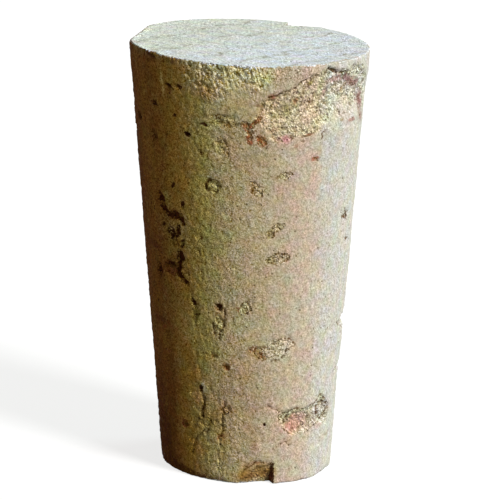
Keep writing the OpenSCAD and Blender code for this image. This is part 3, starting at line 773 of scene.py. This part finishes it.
def back_lenticels(length):
    """Lenticels scattered over the sides and back by even steps, as rows of LENTICELS."""
    count, border = 22, 4.0
    i = np.arange(count)
    size = 0.45 + 0.55 * (i * EVEN_TOO % 1)
    rows = np.stack([
        90 + 190 * (i * GOLDEN % 1),
        border + (length - 2 * border) * (i * EVEN % 1),
        3.4 * size,
        1.1 * size,
        20 * (i * EVEN_TOO % 1) - 10,
        0.55 * 1.1 * size,
        0.4 + 0.5 * (i * GOLDEN * 3 % 1),
        0.2 + 0.7 * (i * EVEN * 2 % 1),
        0.2 + 0.6 * (i * GOLDEN * 5 % 1),
    ], -1)
    return tuple(map(tuple, rows))


def chip(side, angle, width, deep):
    """Depth of a chip whose floor is a straight line from `deep` below the edge, at its steep end,
    to the edge itself: that line's distance from the middle in the direction of a point is the
    product of the line's end distances and the sine between them, over the sum of each end's
    distance times the sine to the point."""
    span = width / side.radius
    turn = np.radians((angle - side.angle + 180) % 360 - 180)
    near, far = side.radius - deep, side.radius
    reach = near * far * np.sin(span) / (near * np.sin(turn) + far * np.sin(span - turn) + 1e-9)
    return np.where((turn > 0) & (turn < span), np.maximum(side.radius - reach, 0), 0)


def rubbed(side, away, angle, deep, h):
    """Depth of what a plane takes off an edge: the radius, less the plane's distance from the middle
    in the direction of the angle over the cosine to it. The plane comes in by `deep` at the edge and
    reaches the side at `h` from it."""
    turn = np.radians(angle)
    facing = np.maximum(side.out @ (np.sin(turn), -np.cos(turn), 0), 0.5)
    edge = side.radius[np.argmin(np.abs(away[:, 0]))].max()
    plane = edge - deep + (away + side.bend_y * 0.3) * deep / h
    return np.maximum(side.radius - plane / facing, 0) * (facing > 0.5)


def closer_steps(count, length, spots):
    """Heights from the top down whose steps are shorter near the spots, given as (height, reach,
    weight): the running sum of a density, turned round to give heights at even sums."""
    z = np.linspace(0, length, 2000)
    density = 1 + sum(weight * np.exp(-(((z - spot) / reach) ** 4)) for spot, reach, weight in spots)
    total = np.cumsum(density)
    total = (total - total[0]) / (total[-1] - total[0])
    return np.interp(np.linspace(1, 0, count), total, z / length)


def sawn_fringe(side, foot_wear):
    """How far each point of the side counts as being from the sawn ends, in millimetres, where their
    colour frays out: nearer on the worn edges themselves, and farther above the foot and at the left
    and right, where less of the colour comes over the edge."""
    below = side.length - side.z
    above = side.z + 0.6 - 0.8 * (side.z < foot_wear) + 0.8 * ramp(side.angle, -20, -40)
    fringe = np.minimum(below, above) - 0.3 * (below < 0.1) + 0.25 * ramp(side.angle, -5, 25)
    upper = side.z > side.length / 2
    return fringe + 0.3 * (ramp(side.angle, -12, -25) + bell(side.angle, *SOFT_RIM)) * upper


def stopper_surface(sizes):
    """The stopper as a closed grid of rows by columns, and what shows at each point.

    Rows run from the middle of the head over its worn edge, down the side, over the foot's worn
    edge and to the middle of the foot. A worn edge is a quarter circle. On an end, a point's
    distance from the middle is the row's share of the cut edge's distance.
    """
    length = HEAD_AT[2] / MM
    turn = np.arange(sizes.columns) / sizes.columns * 2 - 1
    angle = 180 * turn - FRONT_PULL * np.degrees(np.sin(np.pi * turn))

    # An edge's wear varies round it as noise does on a circle. The foot's is least at the front right.
    around = np.radians(angle)
    circle = NOISE_R * np.stack([np.sin(around), -np.cos(around), 0 * around], -1)
    wear = sizes.edge_wear / MM * (1 + 0.6 * layered(circle, 3.0, 81))
    foot_wear = sizes.edge_wear / MM * (1.5 - 0.7 * bell(angle, 40, 22))
    foot_wear = foot_wear * (1 + 0.4 * layered(circle, 4.0, 91))

    quarter = np.linspace(0, np.pi / 2, EDGE_ROWS)[:, None]
    down = closer_steps(sizes.rows, length, CLOSER_ROWS)[1:-1, None]
    inset = np.concatenate([
        wear * (1 - np.sin(quarter)),
        0 * down * angle,
        foot_wear * (1 - np.cos(quarter)),
    ])
    z = np.concatenate([
        length - wear * (1 - np.cos(quarter)),
        foot_wear + (length - wear - foot_wear) * down,
        foot_wear * (1 - np.sin(quarter)),
    ])
    side = Side(sizes, angle[None, :] + 0 * z, z)
    depth, marks = cone_depths(side, sizes)
    wall = side.place - (depth + inset)[..., None] * side.out

    # The ends are a little sunk and uneven inside their edges
    share = np.linspace(0, 1, sizes.face_rings + 1)[1:-1, None, None]
    head_mid, foot_mid = side.middle[0, 0], side.middle[-1, 0]
    head = head_mid + share * (wall[0] - head_mid)
    foot = foot_mid + share[::-1] * (wall[-1] - foot_mid)
    for face, way in ((head, -1), (foot, 1)):
        sunk = 0.05 * (1 + layered(face, 2.5, 101)) + 0.04 * (1 + noise(face, 0.6, 111))
        edge = np.linalg.norm(face[..., :2] - face.mean((0, 1))[:2], axis=-1)
        face[..., 2] += way * sunk * ramp(edge, edge.max(), edge.max() - 1.2)

    grid = np.concatenate([head, wall, foot])
    middles = head[:1].mean(1), foot[-1:].mean(1)
    points = np.concatenate([grid.reshape(-1, 3), *middles])

    flat = np.zeros(head.shape[:2])
    head_fringe = flat - 1
    head_fringe[-1] += 1.1 * bell(angle, *SOFT_RIM)
    looks = {"sawn": np.concatenate([head_fringe, sawn_fringe(side, foot_wear), flat - 1])}
    for name, on_end in MARKS.items():
        looks[name] = np.concatenate([flat + on_end, marks[name], flat + on_end])
    for name, values in colour_zones(side, depth).items():
        looks[name] = np.concatenate([flat, values, flat])
    looks = {name: np.append(values.ravel(), [values.ravel()[0], values.ravel()[-1]])
             for name, values in looks.items()}
    return points, grid_faces(*grid.shape[:2]), looks


def colour_zones(side, depth):
    """Where the side's broad colours and dusts lie, from 0 to 1, and how far each point lies below
    the mean of the points round it."""
    angle = side.angle + ZONE_FRAY * side.bend_x
    behind = ramp(side.angle, -178, -140)
    low_tan = 0.2 * ramp(angle, 10, -8) * ramp(side.z, 20, 12)
    olive_end = angle - 14 * ramp(side.z, 17, 11)
    belt = ramp(side.z, 14, 17) * ramp(side.z, 21, 19)
    line = ramp(side.z, 28, 32)
    grey_start = line * ramp(angle, 38, 43) + (1 - line) * ramp(angle, 32, 56)
    zones = {
        "tan": (ramp(angle, 34, -12) + low_tan) * behind,
        "olive": ramp(angle, -6, -26) * ramp(olive_end, -64, -40) * (0.55 + 0.45 * ramp(side.z, 6, 18)),
        "umber": ramp(angle, -20, -40) * behind * (1 - 0.3 * belt),
        # The brown zone, on the side turned from the key light, is partly old cork and partly painted
        # shade
        "brown": ramp(angle, -36, -58) * behind,
        "grey": ramp(angle, 140, 110) * grey_start,
    }
    for tint, places in DUST_AND_PAINTED_LIGHT.items():
        zones[tint + "_dust_and_painted_light"] = np.minimum(sum(s * side.cloud(*place) for *place, s in places), 1)
    wide = 2 * MEAN_REACH + 1
    mean = sum(np.roll(depth, step, 1) for step in range(-MEAN_REACH, MEAN_REACH + 1)) / wide
    padded = np.pad(mean, ((MEAN_REACH, MEAN_REACH), (0, 0)), mode="edge")
    mean = sum(padded[step:step + len(depth)] for step in range(wide)) / wide
    # The cork is painted darker where it lies below this mean: painted shade in recesses
    zones["sunk"] = depth - mean
    return zones


def grid_faces(rows, columns):
    """Four-sided faces between neighbouring rows, closed round, and a fan at each end, whose middle
    points come after the grid's."""
    point = np.arange(rows * columns).reshape(rows, columns)
    nxt = np.roll(point, -1, 1)
    quads = np.stack([point[:-1], point[1:], nxt[1:], nxt[:-1]], -1).reshape(-1, 4)
    first, last = rows * columns, rows * columns + 1
    top = np.stack([point[0], nxt[0], np.full(columns, first)], -1)
    bottom = np.stack([nxt[-1], point[-1], np.full(columns, last)], -1)
    return quads, np.concatenate([top, bottom])


def make_piece(name, points, faces, looks):
    """A mesh object from points in millimetres, with its looks as attributes and smooth faces."""
    quads, fans = faces
    corners = np.concatenate([quads.ravel(), fans.ravel()])
    starts = np.concatenate([4 * np.arange(len(quads)), quads.size + 3 * np.arange(len(fans))])
    mesh = bpy.data.meshes.new(name)
    mesh.vertices.add(len(points))
    mesh.loops.add(len(corners))
    mesh.polygons.add(len(starts))
    mesh.vertices.foreach_set("co", (points * MM).astype(np.float32).ravel())
    mesh.loops.foreach_set("vertex_index", corners.astype(np.int32))
    mesh.polygons.foreach_set("loop_start", starts.astype(np.int32))
    mesh.polygons.foreach_set("use_smooth", np.ones(len(starts), dtype=bool))
    mesh.update(calc_edges=True)
    mesh.validate()
    for look, values in looks.items():
        attribute = mesh.attributes.new(look, "FLOAT", "POINT")
        attribute.data.foreach_set("value", values.astype(np.float32))
    piece = bpy.data.objects.new(name, mesh)
    bpy.context.scene.collection.objects.link(piece)
    return piece


# ---------------------------------------------------------------------------------------------
# Shader maths


class Socket:
    """A node's output in a shader. Python's operators on it add Math nodes."""

    def __init__(self, shader, link):
        self.shader = shader
        self.link = link

    def math(self, operation, *values):
        places = dict(enumerate(values))
        return self.shader.node("ShaderNodeMath", {"operation": operation}, places)

    def __add__(self, other):
        return self.math("ADD", self, other)

    __radd__ = __add__

    def __sub__(self, other):
        return self.math("SUBTRACT", self, other)

    def __rsub__(self, other):
        return self.math("SUBTRACT", other, self)

    def __mul__(self, other):
        return self.math("MULTIPLY", self, other)

    __rmul__ = __mul__

    def __truediv__(self, other):
        return self.math("DIVIDE", self, other)

    def __abs__(self):
        return self.math("ABSOLUTE", self)

    def greatest(self, other):
        return self.math("MAXIMUM", self, other)

    def fraction(self):
        return self.math("FRACT", self)

    def ramp(self, low, high):
        """0 at low, 1 at high and a smooth step between; high may be the smaller."""
        start, end = (0.0, 1.0) if low < high else (1.0, 0.0)
        values = {"Value": self, "From Min": min(low, high), "From Max": max(low, high),
                  "To Min": start, "To Max": end}
        settings = {"interpolation_type": "SMOOTHSTEP"}
        return self.shader.node("ShaderNodeMapRange", settings, values, "Result")


class Shader:
    """The nodes of a material or of the surround."""

    def __init__(self, owner):
        owner.use_nodes = True
        self.tree = owner.node_tree
        self.tree.nodes.clear()

    def node(self, kind, settings=None, values=None, output=0):
        """A node of that type, with its settings made first, then its sockets' values or links."""
        node = self.tree.nodes.new(kind)
        for setting, value in (settings or {}).items():
            setattr(node, setting, value)
        for name, value in (values or {}).items():
            if isinstance(value, Socket):
                self.tree.links.new(value.link, node.inputs[name])
            else:
                node.inputs[name].default_value = value
        return Socket(self, node.outputs[output]) if node.outputs else None

    def look(self, name):
        """One of the piece's own attributes."""
        return self.node("ShaderNodeAttribute", {"attribute_name": name}, None, "Fac")

    def blend(self, share, low, high):
        """The colour low where the share is 0 and high where it is 1."""
        sides = [side if isinstance(side, Socket) else (*side, 1.0) for side in (low, high)]
        return self.node("ShaderNodeMix", {"data_type": "RGBA", "clamp_factor": True},
                         {0: share, 6: sides[0], 7: sides[1]}, 2)

    def coats(self, colour, *coats):
        """A colour with others laid over it one after another, each given as (share, colour)."""
        for share, over in coats:
            colour = self.blend(share, colour, over)
        return colour

    def vector_math(self, operation, *values, output="Vector"):
        """Vector maths on vectors, colours and numbers."""
        settings = {"operation": operation}
        return self.node("ShaderNodeVectorMath", settings, dict(enumerate(values)), output)

    def scaled(self, vector, scale):
        """A vector or colour times a number."""
        return self.node("ShaderNodeVectorMath", {"operation": "SCALE"}, {0: vector, 3: scale})

    def leaning(self, vector, way, squeeze):
        """A vector squeezed along a direction, so that a texture is drawn out along it."""
        along = self.vector_math("DOT_PRODUCT", vector, way, output="Value")
        return self.vector_math("SUBTRACT", vector, self.scaled(way, along * squeeze))

    def noise(self, vector, size, detail=2.0, roughness=0.5, output="Fac"):
        """Noise from 0 to 1 whose lumps are about `size` across."""
        values = {"Vector": vector, "Scale": 1 / size, "Detail": detail, "Roughness": roughness}
        return self.node("ShaderNodeTexNoise", None, values, output)

    def sway(self, vector, size, detail=2.0, roughness=0.5):
        """Noise from -0.5 to 0.5, which raises what it is added to as much as it lowers it."""
        return self.noise(vector, size, detail, roughness) - 0.5

    def cells(self, vector, size, output="Distance"):
        """Cells about `size` across, around points scattered one to a cell."""
        return self.node("ShaderNodeTexVoronoi", None, {"Vector": vector, "Scale": 1 / size}, output)

    def parts(self, colour):
        """A colour's three parts, each for itself."""
        return [self.node("ShaderNodeSeparateColor", None, {"Color": colour}, part)
                for part in ("Red", "Green", "Blue")]


# ---------------------------------------------------------------------------------------------
# Cork, whose textures t holds


def cork_textures(shader):
    """What the cork varies with: noises that sway about 0, three of them in lumps drawn out upwards,
    a tearing noise that leans, and crumbs, holes and pores, which are cells round scattered points."""
    place = shader.node("ShaderNodeTexCoord", None, None, "Object")
    place = shader.scaled(place, 1 / MM)
    upright = shader.vector_math("MULTIPLY", place, (1.0, 1.0, 0.25))
    torn_way = shader.leaning(place, TORN_WAY, 0.7)
    lumps = shader.parts(shader.noise(upright, 1.6, 3.0, 0.6, "Color"))
    crumbled = shader.look("crumbled").ramp(0.2, 0.7)
    grit = shader.cells(place, GRAIN_D)
    luck, hue, lost = shader.parts(shader.cells(place, GRAIN_D, "Color"))
    open_pores = shader.cells(place, PORE_GAP, "Color").ramp(0.55, 0.65)
    return SimpleNamespace(
        place=place,
        broad=shader.sway(place, 5.0),
        streak=shader.sway(upright, 1.1, 3.0),
        mottle=shader.sway(place, 1.3, 3.0),
        patchy=shader.sway(place, 0.5),
        fleck=shader.sway(place, 0.26, 2.0, 0.7),
        fine=shader.sway(place, 0.12, 1.0, 0.6),
        tear=shader.sway(torn_way, 0.32, 2.0, 0.6),
        lumps=[part - 0.5 for part in lumps],
        crumbled=crumbled,
        grit=grit,
        luck=luck,
        hue=hue,
        holes=lost.ramp(0.9, 0.95) * grit.ramp(0.7, 0.4) * crumbled,
        open_pores=open_pores,
        pores=shader.cells(place, PORE_GAP).ramp(0.16, 0.07) * open_pores,
    )


def ground_cork(shader, colours, t):
    """Pale cork with a pink cast in places, which turns to old cork zone by zone, and torn cork. The
    brown zone on the left, the side turned from the key light, is partly old cork and partly painted
    shade.
    """
    pinkish = (0.6 * t.mottle + 0.4 * t.broad).ramp(-0.08, 0.08)
    colour = shader.blend(pinkish, colours.cork, colours.blush)
    zones = (("tan", t.streak, 0.9), ("grey", t.mottle, 1.2), ("olive", t.lumps[0], 2.0),
             ("umber", t.lumps[1], 1.7), ("brown", t.lumps[2], 2.0))
    for zone, lump, spread in zones:
        share = shader.look(zone) * (1 + spread * (lump + 0.5 * t.patchy))
        colour = shader.blend(share, colour, getattr(colours, zone))
    fresh = shader.look("torn") * (0.85 + 1.5 * t.mottle) * (1 - 0.9 * shader.look("umber"))
    return shader.blend(fresh, colour, colours.torn)


def crumbly_cork(shader, colours, t, ground):
    """Crumbs of the ground cork's colour, paler or darker by chance, some of them rusty or olive."""
    paleness = 0.25 * shader.look("crumb") + 0.75 * t.luck + t.patchy + 1.2 * t.mottle
    tint = shader.blend(paleness.ramp(0.0, 0.7), colours.dull, colours.pale)
    crumb = shader.scaled(shader.vector_math("MULTIPLY", ground, tint), CRUMB_GAIN)
    rusty = (t.hue + t.lumps[0]).ramp(0.97, 1.1)
    olive = (t.hue - t.lumps[1]).ramp(0.12, -0.1)
    return shader.coats(crumb, (rusty * 0.22, colours.rust), (olive * 0.5, colours.olive))


def lay_dust_and_painted_light(shader, colours, t, colour):
    """A colour under the dusts, each of which lies softly or in specks. Some pit rows are painted
    shade, and some cream and straw rows painted highlight.
    """
    soft = 0.8 + 1.2 * t.patchy + 0.6 * t.fleck
    specks = 0.75 + 1.6 * t.patchy + 1.8 * t.fleck
    for tint in DUST_AND_PAINTED_LIGHT:
        lying = soft if tint in SOFT_DUSTS else specks
        share = (shader.look(tint + "_dust_and_painted_light") * lying).ramp(0.05, 0.8)
        colour = shader.blend(share * COVER, colour, getattr(colours, tint))
    return colour


def marked(shader, colours, t, colour):
    """A colour with what is cut into it: rusty and dark parts of lenticels and their outlines, tears,
    gaps and holes between crumbs, sunk places, lines and pores. Noise frays their borders. The gaps,
    holes, sunk places and pores are darkened as painted shade, and the outlines and lines are partly
    dark cracks and partly painted shade."""
    ragged = 0.5 * t.patchy + 0.4 * t.fleck
    dark, rust = shader.look("dark"), shader.look("rust")
    pit = shader.look("pit") + (1.4 + 1.2 * rust) * ragged
    rusty = (rust + 1.6 * t.mottle + 3.0 * ragged).ramp(0.45, 0.75)
    grainy = 0.45 + 0.55 * t.fleck.ramp(-0.08, 0.06)
    torn = shader.look("torn") * (t.tear + 0.3 * t.patchy).ramp(-0.04, -0.14)
    # The outlines are partly dark cracks and partly painted shade
    outline = abs(pit + 0.02).ramp(0.11, 0.03) * t.patchy.ramp(-0.1, 0.0) * shader.look("edge")
    # Painted shade between crumbs and in places that lie below their surroundings
    gap = shader.look("gap").ramp(0.2, 0.0) * t.crumbled * t.patchy.ramp(-0.1, 0.1)
    sunk = shader.look("sunk").ramp(0.02, 0.16)
    # The lines are partly dark cracks and partly painted shade
    line = (shader.look("line") + 0.8 * ragged).ramp(0.06, -0.03) * t.patchy.ramp(-0.18, -0.06)
    shady = (dark + 1.4 * t.mottle + 3.0 * ragged).ramp(0.4, 0.75)
    deepest = shader.blend(dark.ramp(0.35, 0.8), colours.shade, colours.pit)
    return shader.coats(
        colour,
        (pit.ramp(0.2, -0.05) * rusty * grainy, colours.rust),
        (torn * 0.75, colours.tear),
        (outline * 0.85, colours.shade),
        (gap * 0.5, colours.shade),
        (sunk * 0.35, colours.shade),
        (line * 0.8, colours.shade),
        (pit.ramp(0.08, -0.04) * shady * 0.95, deepest),
        (line * 0.4, colours.pit),
        # Painted shade in holes between crumbs and in pores
        (t.holes * 0.7, colours.pit),
        (t.pores * 0.6, colours.shade),
    )


def sawn_end(shader, colours, t):
    """A sawn end, which yellows away from the middle of the tree and has year rings, pores and
    freckles."""
    away = from_tree(shader, t.place)
    old = (away + 14 * t.broad + 8 * t.mottle).ramp(TREE_FAR - 5, TREE_FAR + 9)
    pores = shader.cells(t.place, END_PORE_GAP).ramp(0.22, 0.1) * t.open_pores
    freckles = t.mottle.ramp(-0.06, 0.12) * t.fleck.ramp(0.0, 0.16)
    end = shader.coats(
        colours.sawn,
        (old, colours.sawn_old),
        (year_rings(away, t), colours.ring),
        (pores * 0.95, colours.ring),
        (freckles * 0.45, colours.ring),
    )
    return shader.scaled(end, 1 + 0.3 * t.mottle + 0.35 * t.patchy)


def grained(shader, t, sawn, colour):
    """A colour with fine grain, whose darks are browner than its lights in old cork, and with a slow
    change of hue: the colour times one plus the grain times its tint, and then times a noise colour
    that is about white."""
    rough, torn, tan = (shader.look(name) for name in ("rough", "torn", "tan"))
    grain = (1.4 + 0.4 * sawn + 1.6 * rough) * t.fleck + (1.3 + sawn + 2.4 * rough) * t.fine
    grain = grain + 0.8 * torn * (t.tear + 0.05)
    age = 0.45 * tan + 0.55 * shader.look("umber") + 0.6 * torn
    tint = shader.coats(GRAIN_TINT, (age, OLD_GRAIN_TINT), (sawn, WHITE))
    colour = shader.vector_math("MULTIPLY", colour,
                                shader.vector_math("MULTIPLY_ADD", grain, tint, WHITE))
    stray = shader.noise(t.place, 1.4, output="Color")
    least = [1 - spread / 2 for spread in HUE_SPREAD]
    strayed = shader.vector_math("MULTIPLY", colour,
                                 shader.vector_math("MULTIPLY_ADD", stray, HUE_SPREAD, least))
    return shader.blend(0.43 + 0.2 * tan - 0.1 * sawn, colour, strayed)


def cork(colours):
    """Natural cork.

    Ground cork varies slowly in colour, more round the side than up it, and has fine flecks. Crumbled
    places show crumbs between cream and ochre with dark gaps. Lenticels are crumbly, dark in parts
    and stained by dust. The sawn ends are paler, with year rings and pores, and their colour comes
    over the edge in a frayed border.
    """
    material = bpy.data.materials.new("cork")
    shader = Shader(material)
    t = cork_textures(shader)
    fray = 0.1 + t.mottle + 1.6 * t.tear + 0.8 * t.fleck
    sawn = (shader.look("sawn") - fray).ramp(0.12, -0.12)

    ground = ground_cork(shader, colours, t)
    crumb = crumbly_cork(shader, colours, t, ground)
    colour = shader.blend(t.crumbled * COVER, ground, crumb)
    colour = lay_dust_and_painted_light(shader, colours, t, colour)
    colour = marked(shader, colours, t, colour)
    colour = shader.blend(sawn, colour, sawn_end(shader, colours, t))
    colour = grained(shader, t, sawn, colour)

    height = (0.05 + 0.16 * shader.look("rough")) * (t.fleck + 0.5) + 0.03 * t.fine
    height = height + 0.3 * shader.look("torn") * (t.tear + 0.5)
    height = height - (0.02 + 0.14 * t.crumbled) * t.grit - 0.10 * t.pores - 0.12 * t.holes
    bump = shader.node("ShaderNodeBump", None, {"Strength": 1.0, "Distance": MM, "Height": height})
    surface = shader.node("ShaderNodeBsdfPrincipled", None, {
        "Base Color": colour,
        "Roughness": 0.9 - 0.1 * sawn,
        "Specular IOR Level": 0.08,
        "Normal": bump,
    })
    shader.node("ShaderNodeOutputMaterial", None, {"Surface": surface})
    return material


def from_tree(shader, place):
    """How far a point is from the middle of the tree, seen along the stopper."""
    turn = np.radians(TREE_ANGLE)
    centre = (TREE_FAR * np.sin(turn), -TREE_FAR * np.cos(turn), 0.0)
    flat = shader.vector_math("MULTIPLY", place, (1.0, 1.0, 0.0))
    return shader.vector_math("DISTANCE", flat, centre, output="Value")


def year_rings(away, t):
    """Thin rings about the middle of the tree: where the distance from it, over the rings' gap and
    bent by noise, is near a whole number and a half."""
    turn = ((away - TREE_FAR) / RING_GAP + 1.2 * t.broad + 10.5).fraction()
    off = abs(turn - 0.5)
    thin = off.ramp(0.09, 0.0) * t.patchy.ramp(-0.07, 0.07) * t.mottle.ramp(-0.1, 0.02) * 0.8
    wide = off.ramp(0.2, 0.0) * t.mottle.ramp(-0.1, 0.1) * 0.2
    return thin.greatest(wide)


# ---------------------------------------------------------------------------------------------
# Stage


def sun(name, strength, angle, elevation, softness, colour=WHITE):
    """A lamp in the direction of an angle round the stopper. A strength of 1 lights a surface that
    faces it so that its colour shows as written."""
    data = bpy.data.lights.new(name, "SUN")
    data.energy = strength * np.pi
    data.angle = np.radians(softness)
    data.color = colour
    lamp = bpy.data.objects.new(name, data)
    turn, rise = np.radians(angle), np.radians(elevation)
    to_lamp = Vector((np.sin(turn) * np.cos(rise), -np.cos(turn) * np.cos(rise), np.sin(rise)))
    lamp.rotation_euler = to_lamp.to_track_quat("Z", "Y").to_euler()
    bpy.context.scene.collection.objects.link(lamp)


def seen(shader):
    """1 for rays from the camera, a glossy surface or a clear one, and 0 for the light's own."""
    kinds = ("Is Camera Ray", "Is Glossy Ray", "Is Transmission Ray")
    camera, glossy, clear = (shader.node("ShaderNodeLightPath", None, None, kind) for kind in kinds)
    return camera.greatest(glossy).greatest(clear)


def floor_material(stage):
    """A plain matt floor that is pale for the camera and keeps its shadows."""
    material = bpy.data.materials.new("plain floor")
    shader = Shader(material)
    diffuse = shader.node("ShaderNodeBsdfDiffuse", None, {"Color": (*stage.floor, 1.0)})
    glow = shader.node("ShaderNodeEmission", None,
                       {"Color": (*WHITE, 1.0), "Strength": seen(shader) * stage.paleness})
    both = shader.node("ShaderNodeAddShader", None, {0: diffuse, 1: glow})
    shader.node("ShaderNodeOutputMaterial", None, {"Surface": both})
    return material


def make_floor(stage):
    """A flat square floor at the stopper's foot."""
    x, y = np.meshgrid([-FLOOR_REACH, FLOOR_REACH], [-FLOOR_REACH, FLOOR_REACH])
    points = np.stack([x, y, 0 * x], -1).reshape(-1, 3)
    mesh = bpy.data.meshes.new("floor")
    mesh.from_pydata(points.tolist(), [], [(0, 1, 3, 2)])
    mesh.update()
    floor = bpy.data.objects.new("floor", mesh)
    floor.data.materials.append(floor_material(stage))
    bpy.context.scene.collection.objects.link(floor)


def make_world(stage):
    """An even pale surround: white where it is seen, and a weak light for the rest."""
    world = bpy.data.worlds.new("surround")
    shader = Shader(world)
    shown = seen(shader)
    colour = shader.blend(shown, stage.warmth, WHITE)
    strength = stage.fill + (1 - stage.fill) * shown
    light = shader.node("ShaderNodeBackground", None, {"Color": colour, "Strength": strength})
    shader.node("ShaderNodeOutputWorld", None, {"Surface": light})
    bpy.context.scene.world = world


def make_camera(stage):
    """A camera in front of the stopper and above it, aimed at its middle and then rolled."""
    data = bpy.data.cameras.new("camera")
    data.lens = stage.lens
    data.sensor_width = 36.0
    data.shift_x = stage.shift_x
    data.shift_y = stage.shift_y
    data.clip_start = 0.01
    data.clip_end = 20.0
    camera = bpy.data.objects.new("camera", data)
    middle = Vector((0.0, 0.0, HEAD_AT[2] / 2))
    back = Vector((0.0, -np.cos(stage.elevation), np.sin(stage.elevation)))
    right = Vector((1.0, 0.0, 0.0))
    up = back.cross(right)
    cos, sin = np.cos(stage.roll), np.sin(stage.roll)
    axes = Matrix((right * cos + up * sin, up * cos - right * sin, back)).transposed().to_4x4()
    camera.matrix_world = Matrix.Translation(middle + back * stage.distance) @ axes
    bpy.context.scene.collection.objects.link(camera)
    bpy.context.scene.camera = camera


# ---------------------------------------------------------------------------------------------
# Operators, panel and run


class STOPPER_OT_make(bpy.types.Operator):
    """Make the cork stopper"""

    bl_idname = "stopper.make"
    bl_label = "Make the stopper"

    def execute(self, context):
        scene = context.scene
        points, faces, looks = stopper_surface(scene.stopper_sizes)
        piece = make_piece("cork_stopper", points, faces, looks)
        piece.data.materials.append(cork(scene.stopper_colours))
        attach(piece, BODY)
        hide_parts(NODE)
        return {"FINISHED"}


class STOPPER_OT_stage(bpy.types.Operator):
    """Set the floor, the lamps, the surround and the camera"""

    bl_idname = "stopper.stage"
    bl_label = "Set the stage"

    def execute(self, context):
        stage = context.scene.stopper_stage
        make_camera(stage)
        make_floor(stage)
        make_world(stage)
        sun("key light", stage.key, angle=50, elevation=38, softness=16)
        sun("edge light", stage.edge, angle=118, elevation=20, softness=25, colour=stage.coolness)
        context.scene.view_settings.view_transform = "Standard"
        return {"FINISHED"}


class STOPPER_PT_panel(bpy.types.Panel):
    """Lists the stopper's operators"""

    bl_label = "Cork stopper"
    bl_idname = "STOPPER_PT_panel"
    bl_space_type = "VIEW_3D"
    bl_region_type = "UI"
    bl_category = "Stopper"

    def draw(self, context):
        for name in (STOPPER_OT_make.bl_idname, STOPPER_OT_stage.bl_idname):
            self.layout.operator(name)


GROUPS = {
    "stopper_sizes": StopperSizes,
    "stopper_colours": StopperColours,
    "stopper_stage": StageSettings,
}
CLASSES = (*GROUPS.values(), STOPPER_OT_make, STOPPER_OT_stage, STOPPER_PT_panel)


def register():
    for cls in CLASSES:
        bpy.utils.register_class(cls)
    for name, group in GROUPS.items():
        setattr(bpy.types.Scene, name, bpy.props.PointerProperty(type=group))


def unregister():
    for name in GROUPS:
        delattr(bpy.types.Scene, name)
    for cls in reversed(CLASSES):
        bpy.utils.unregister_class(cls)


def main():
    register()
    bpy.ops.stopper.make()
    bpy.ops.stopper.stage()


if __name__ == "__main__":
    main()
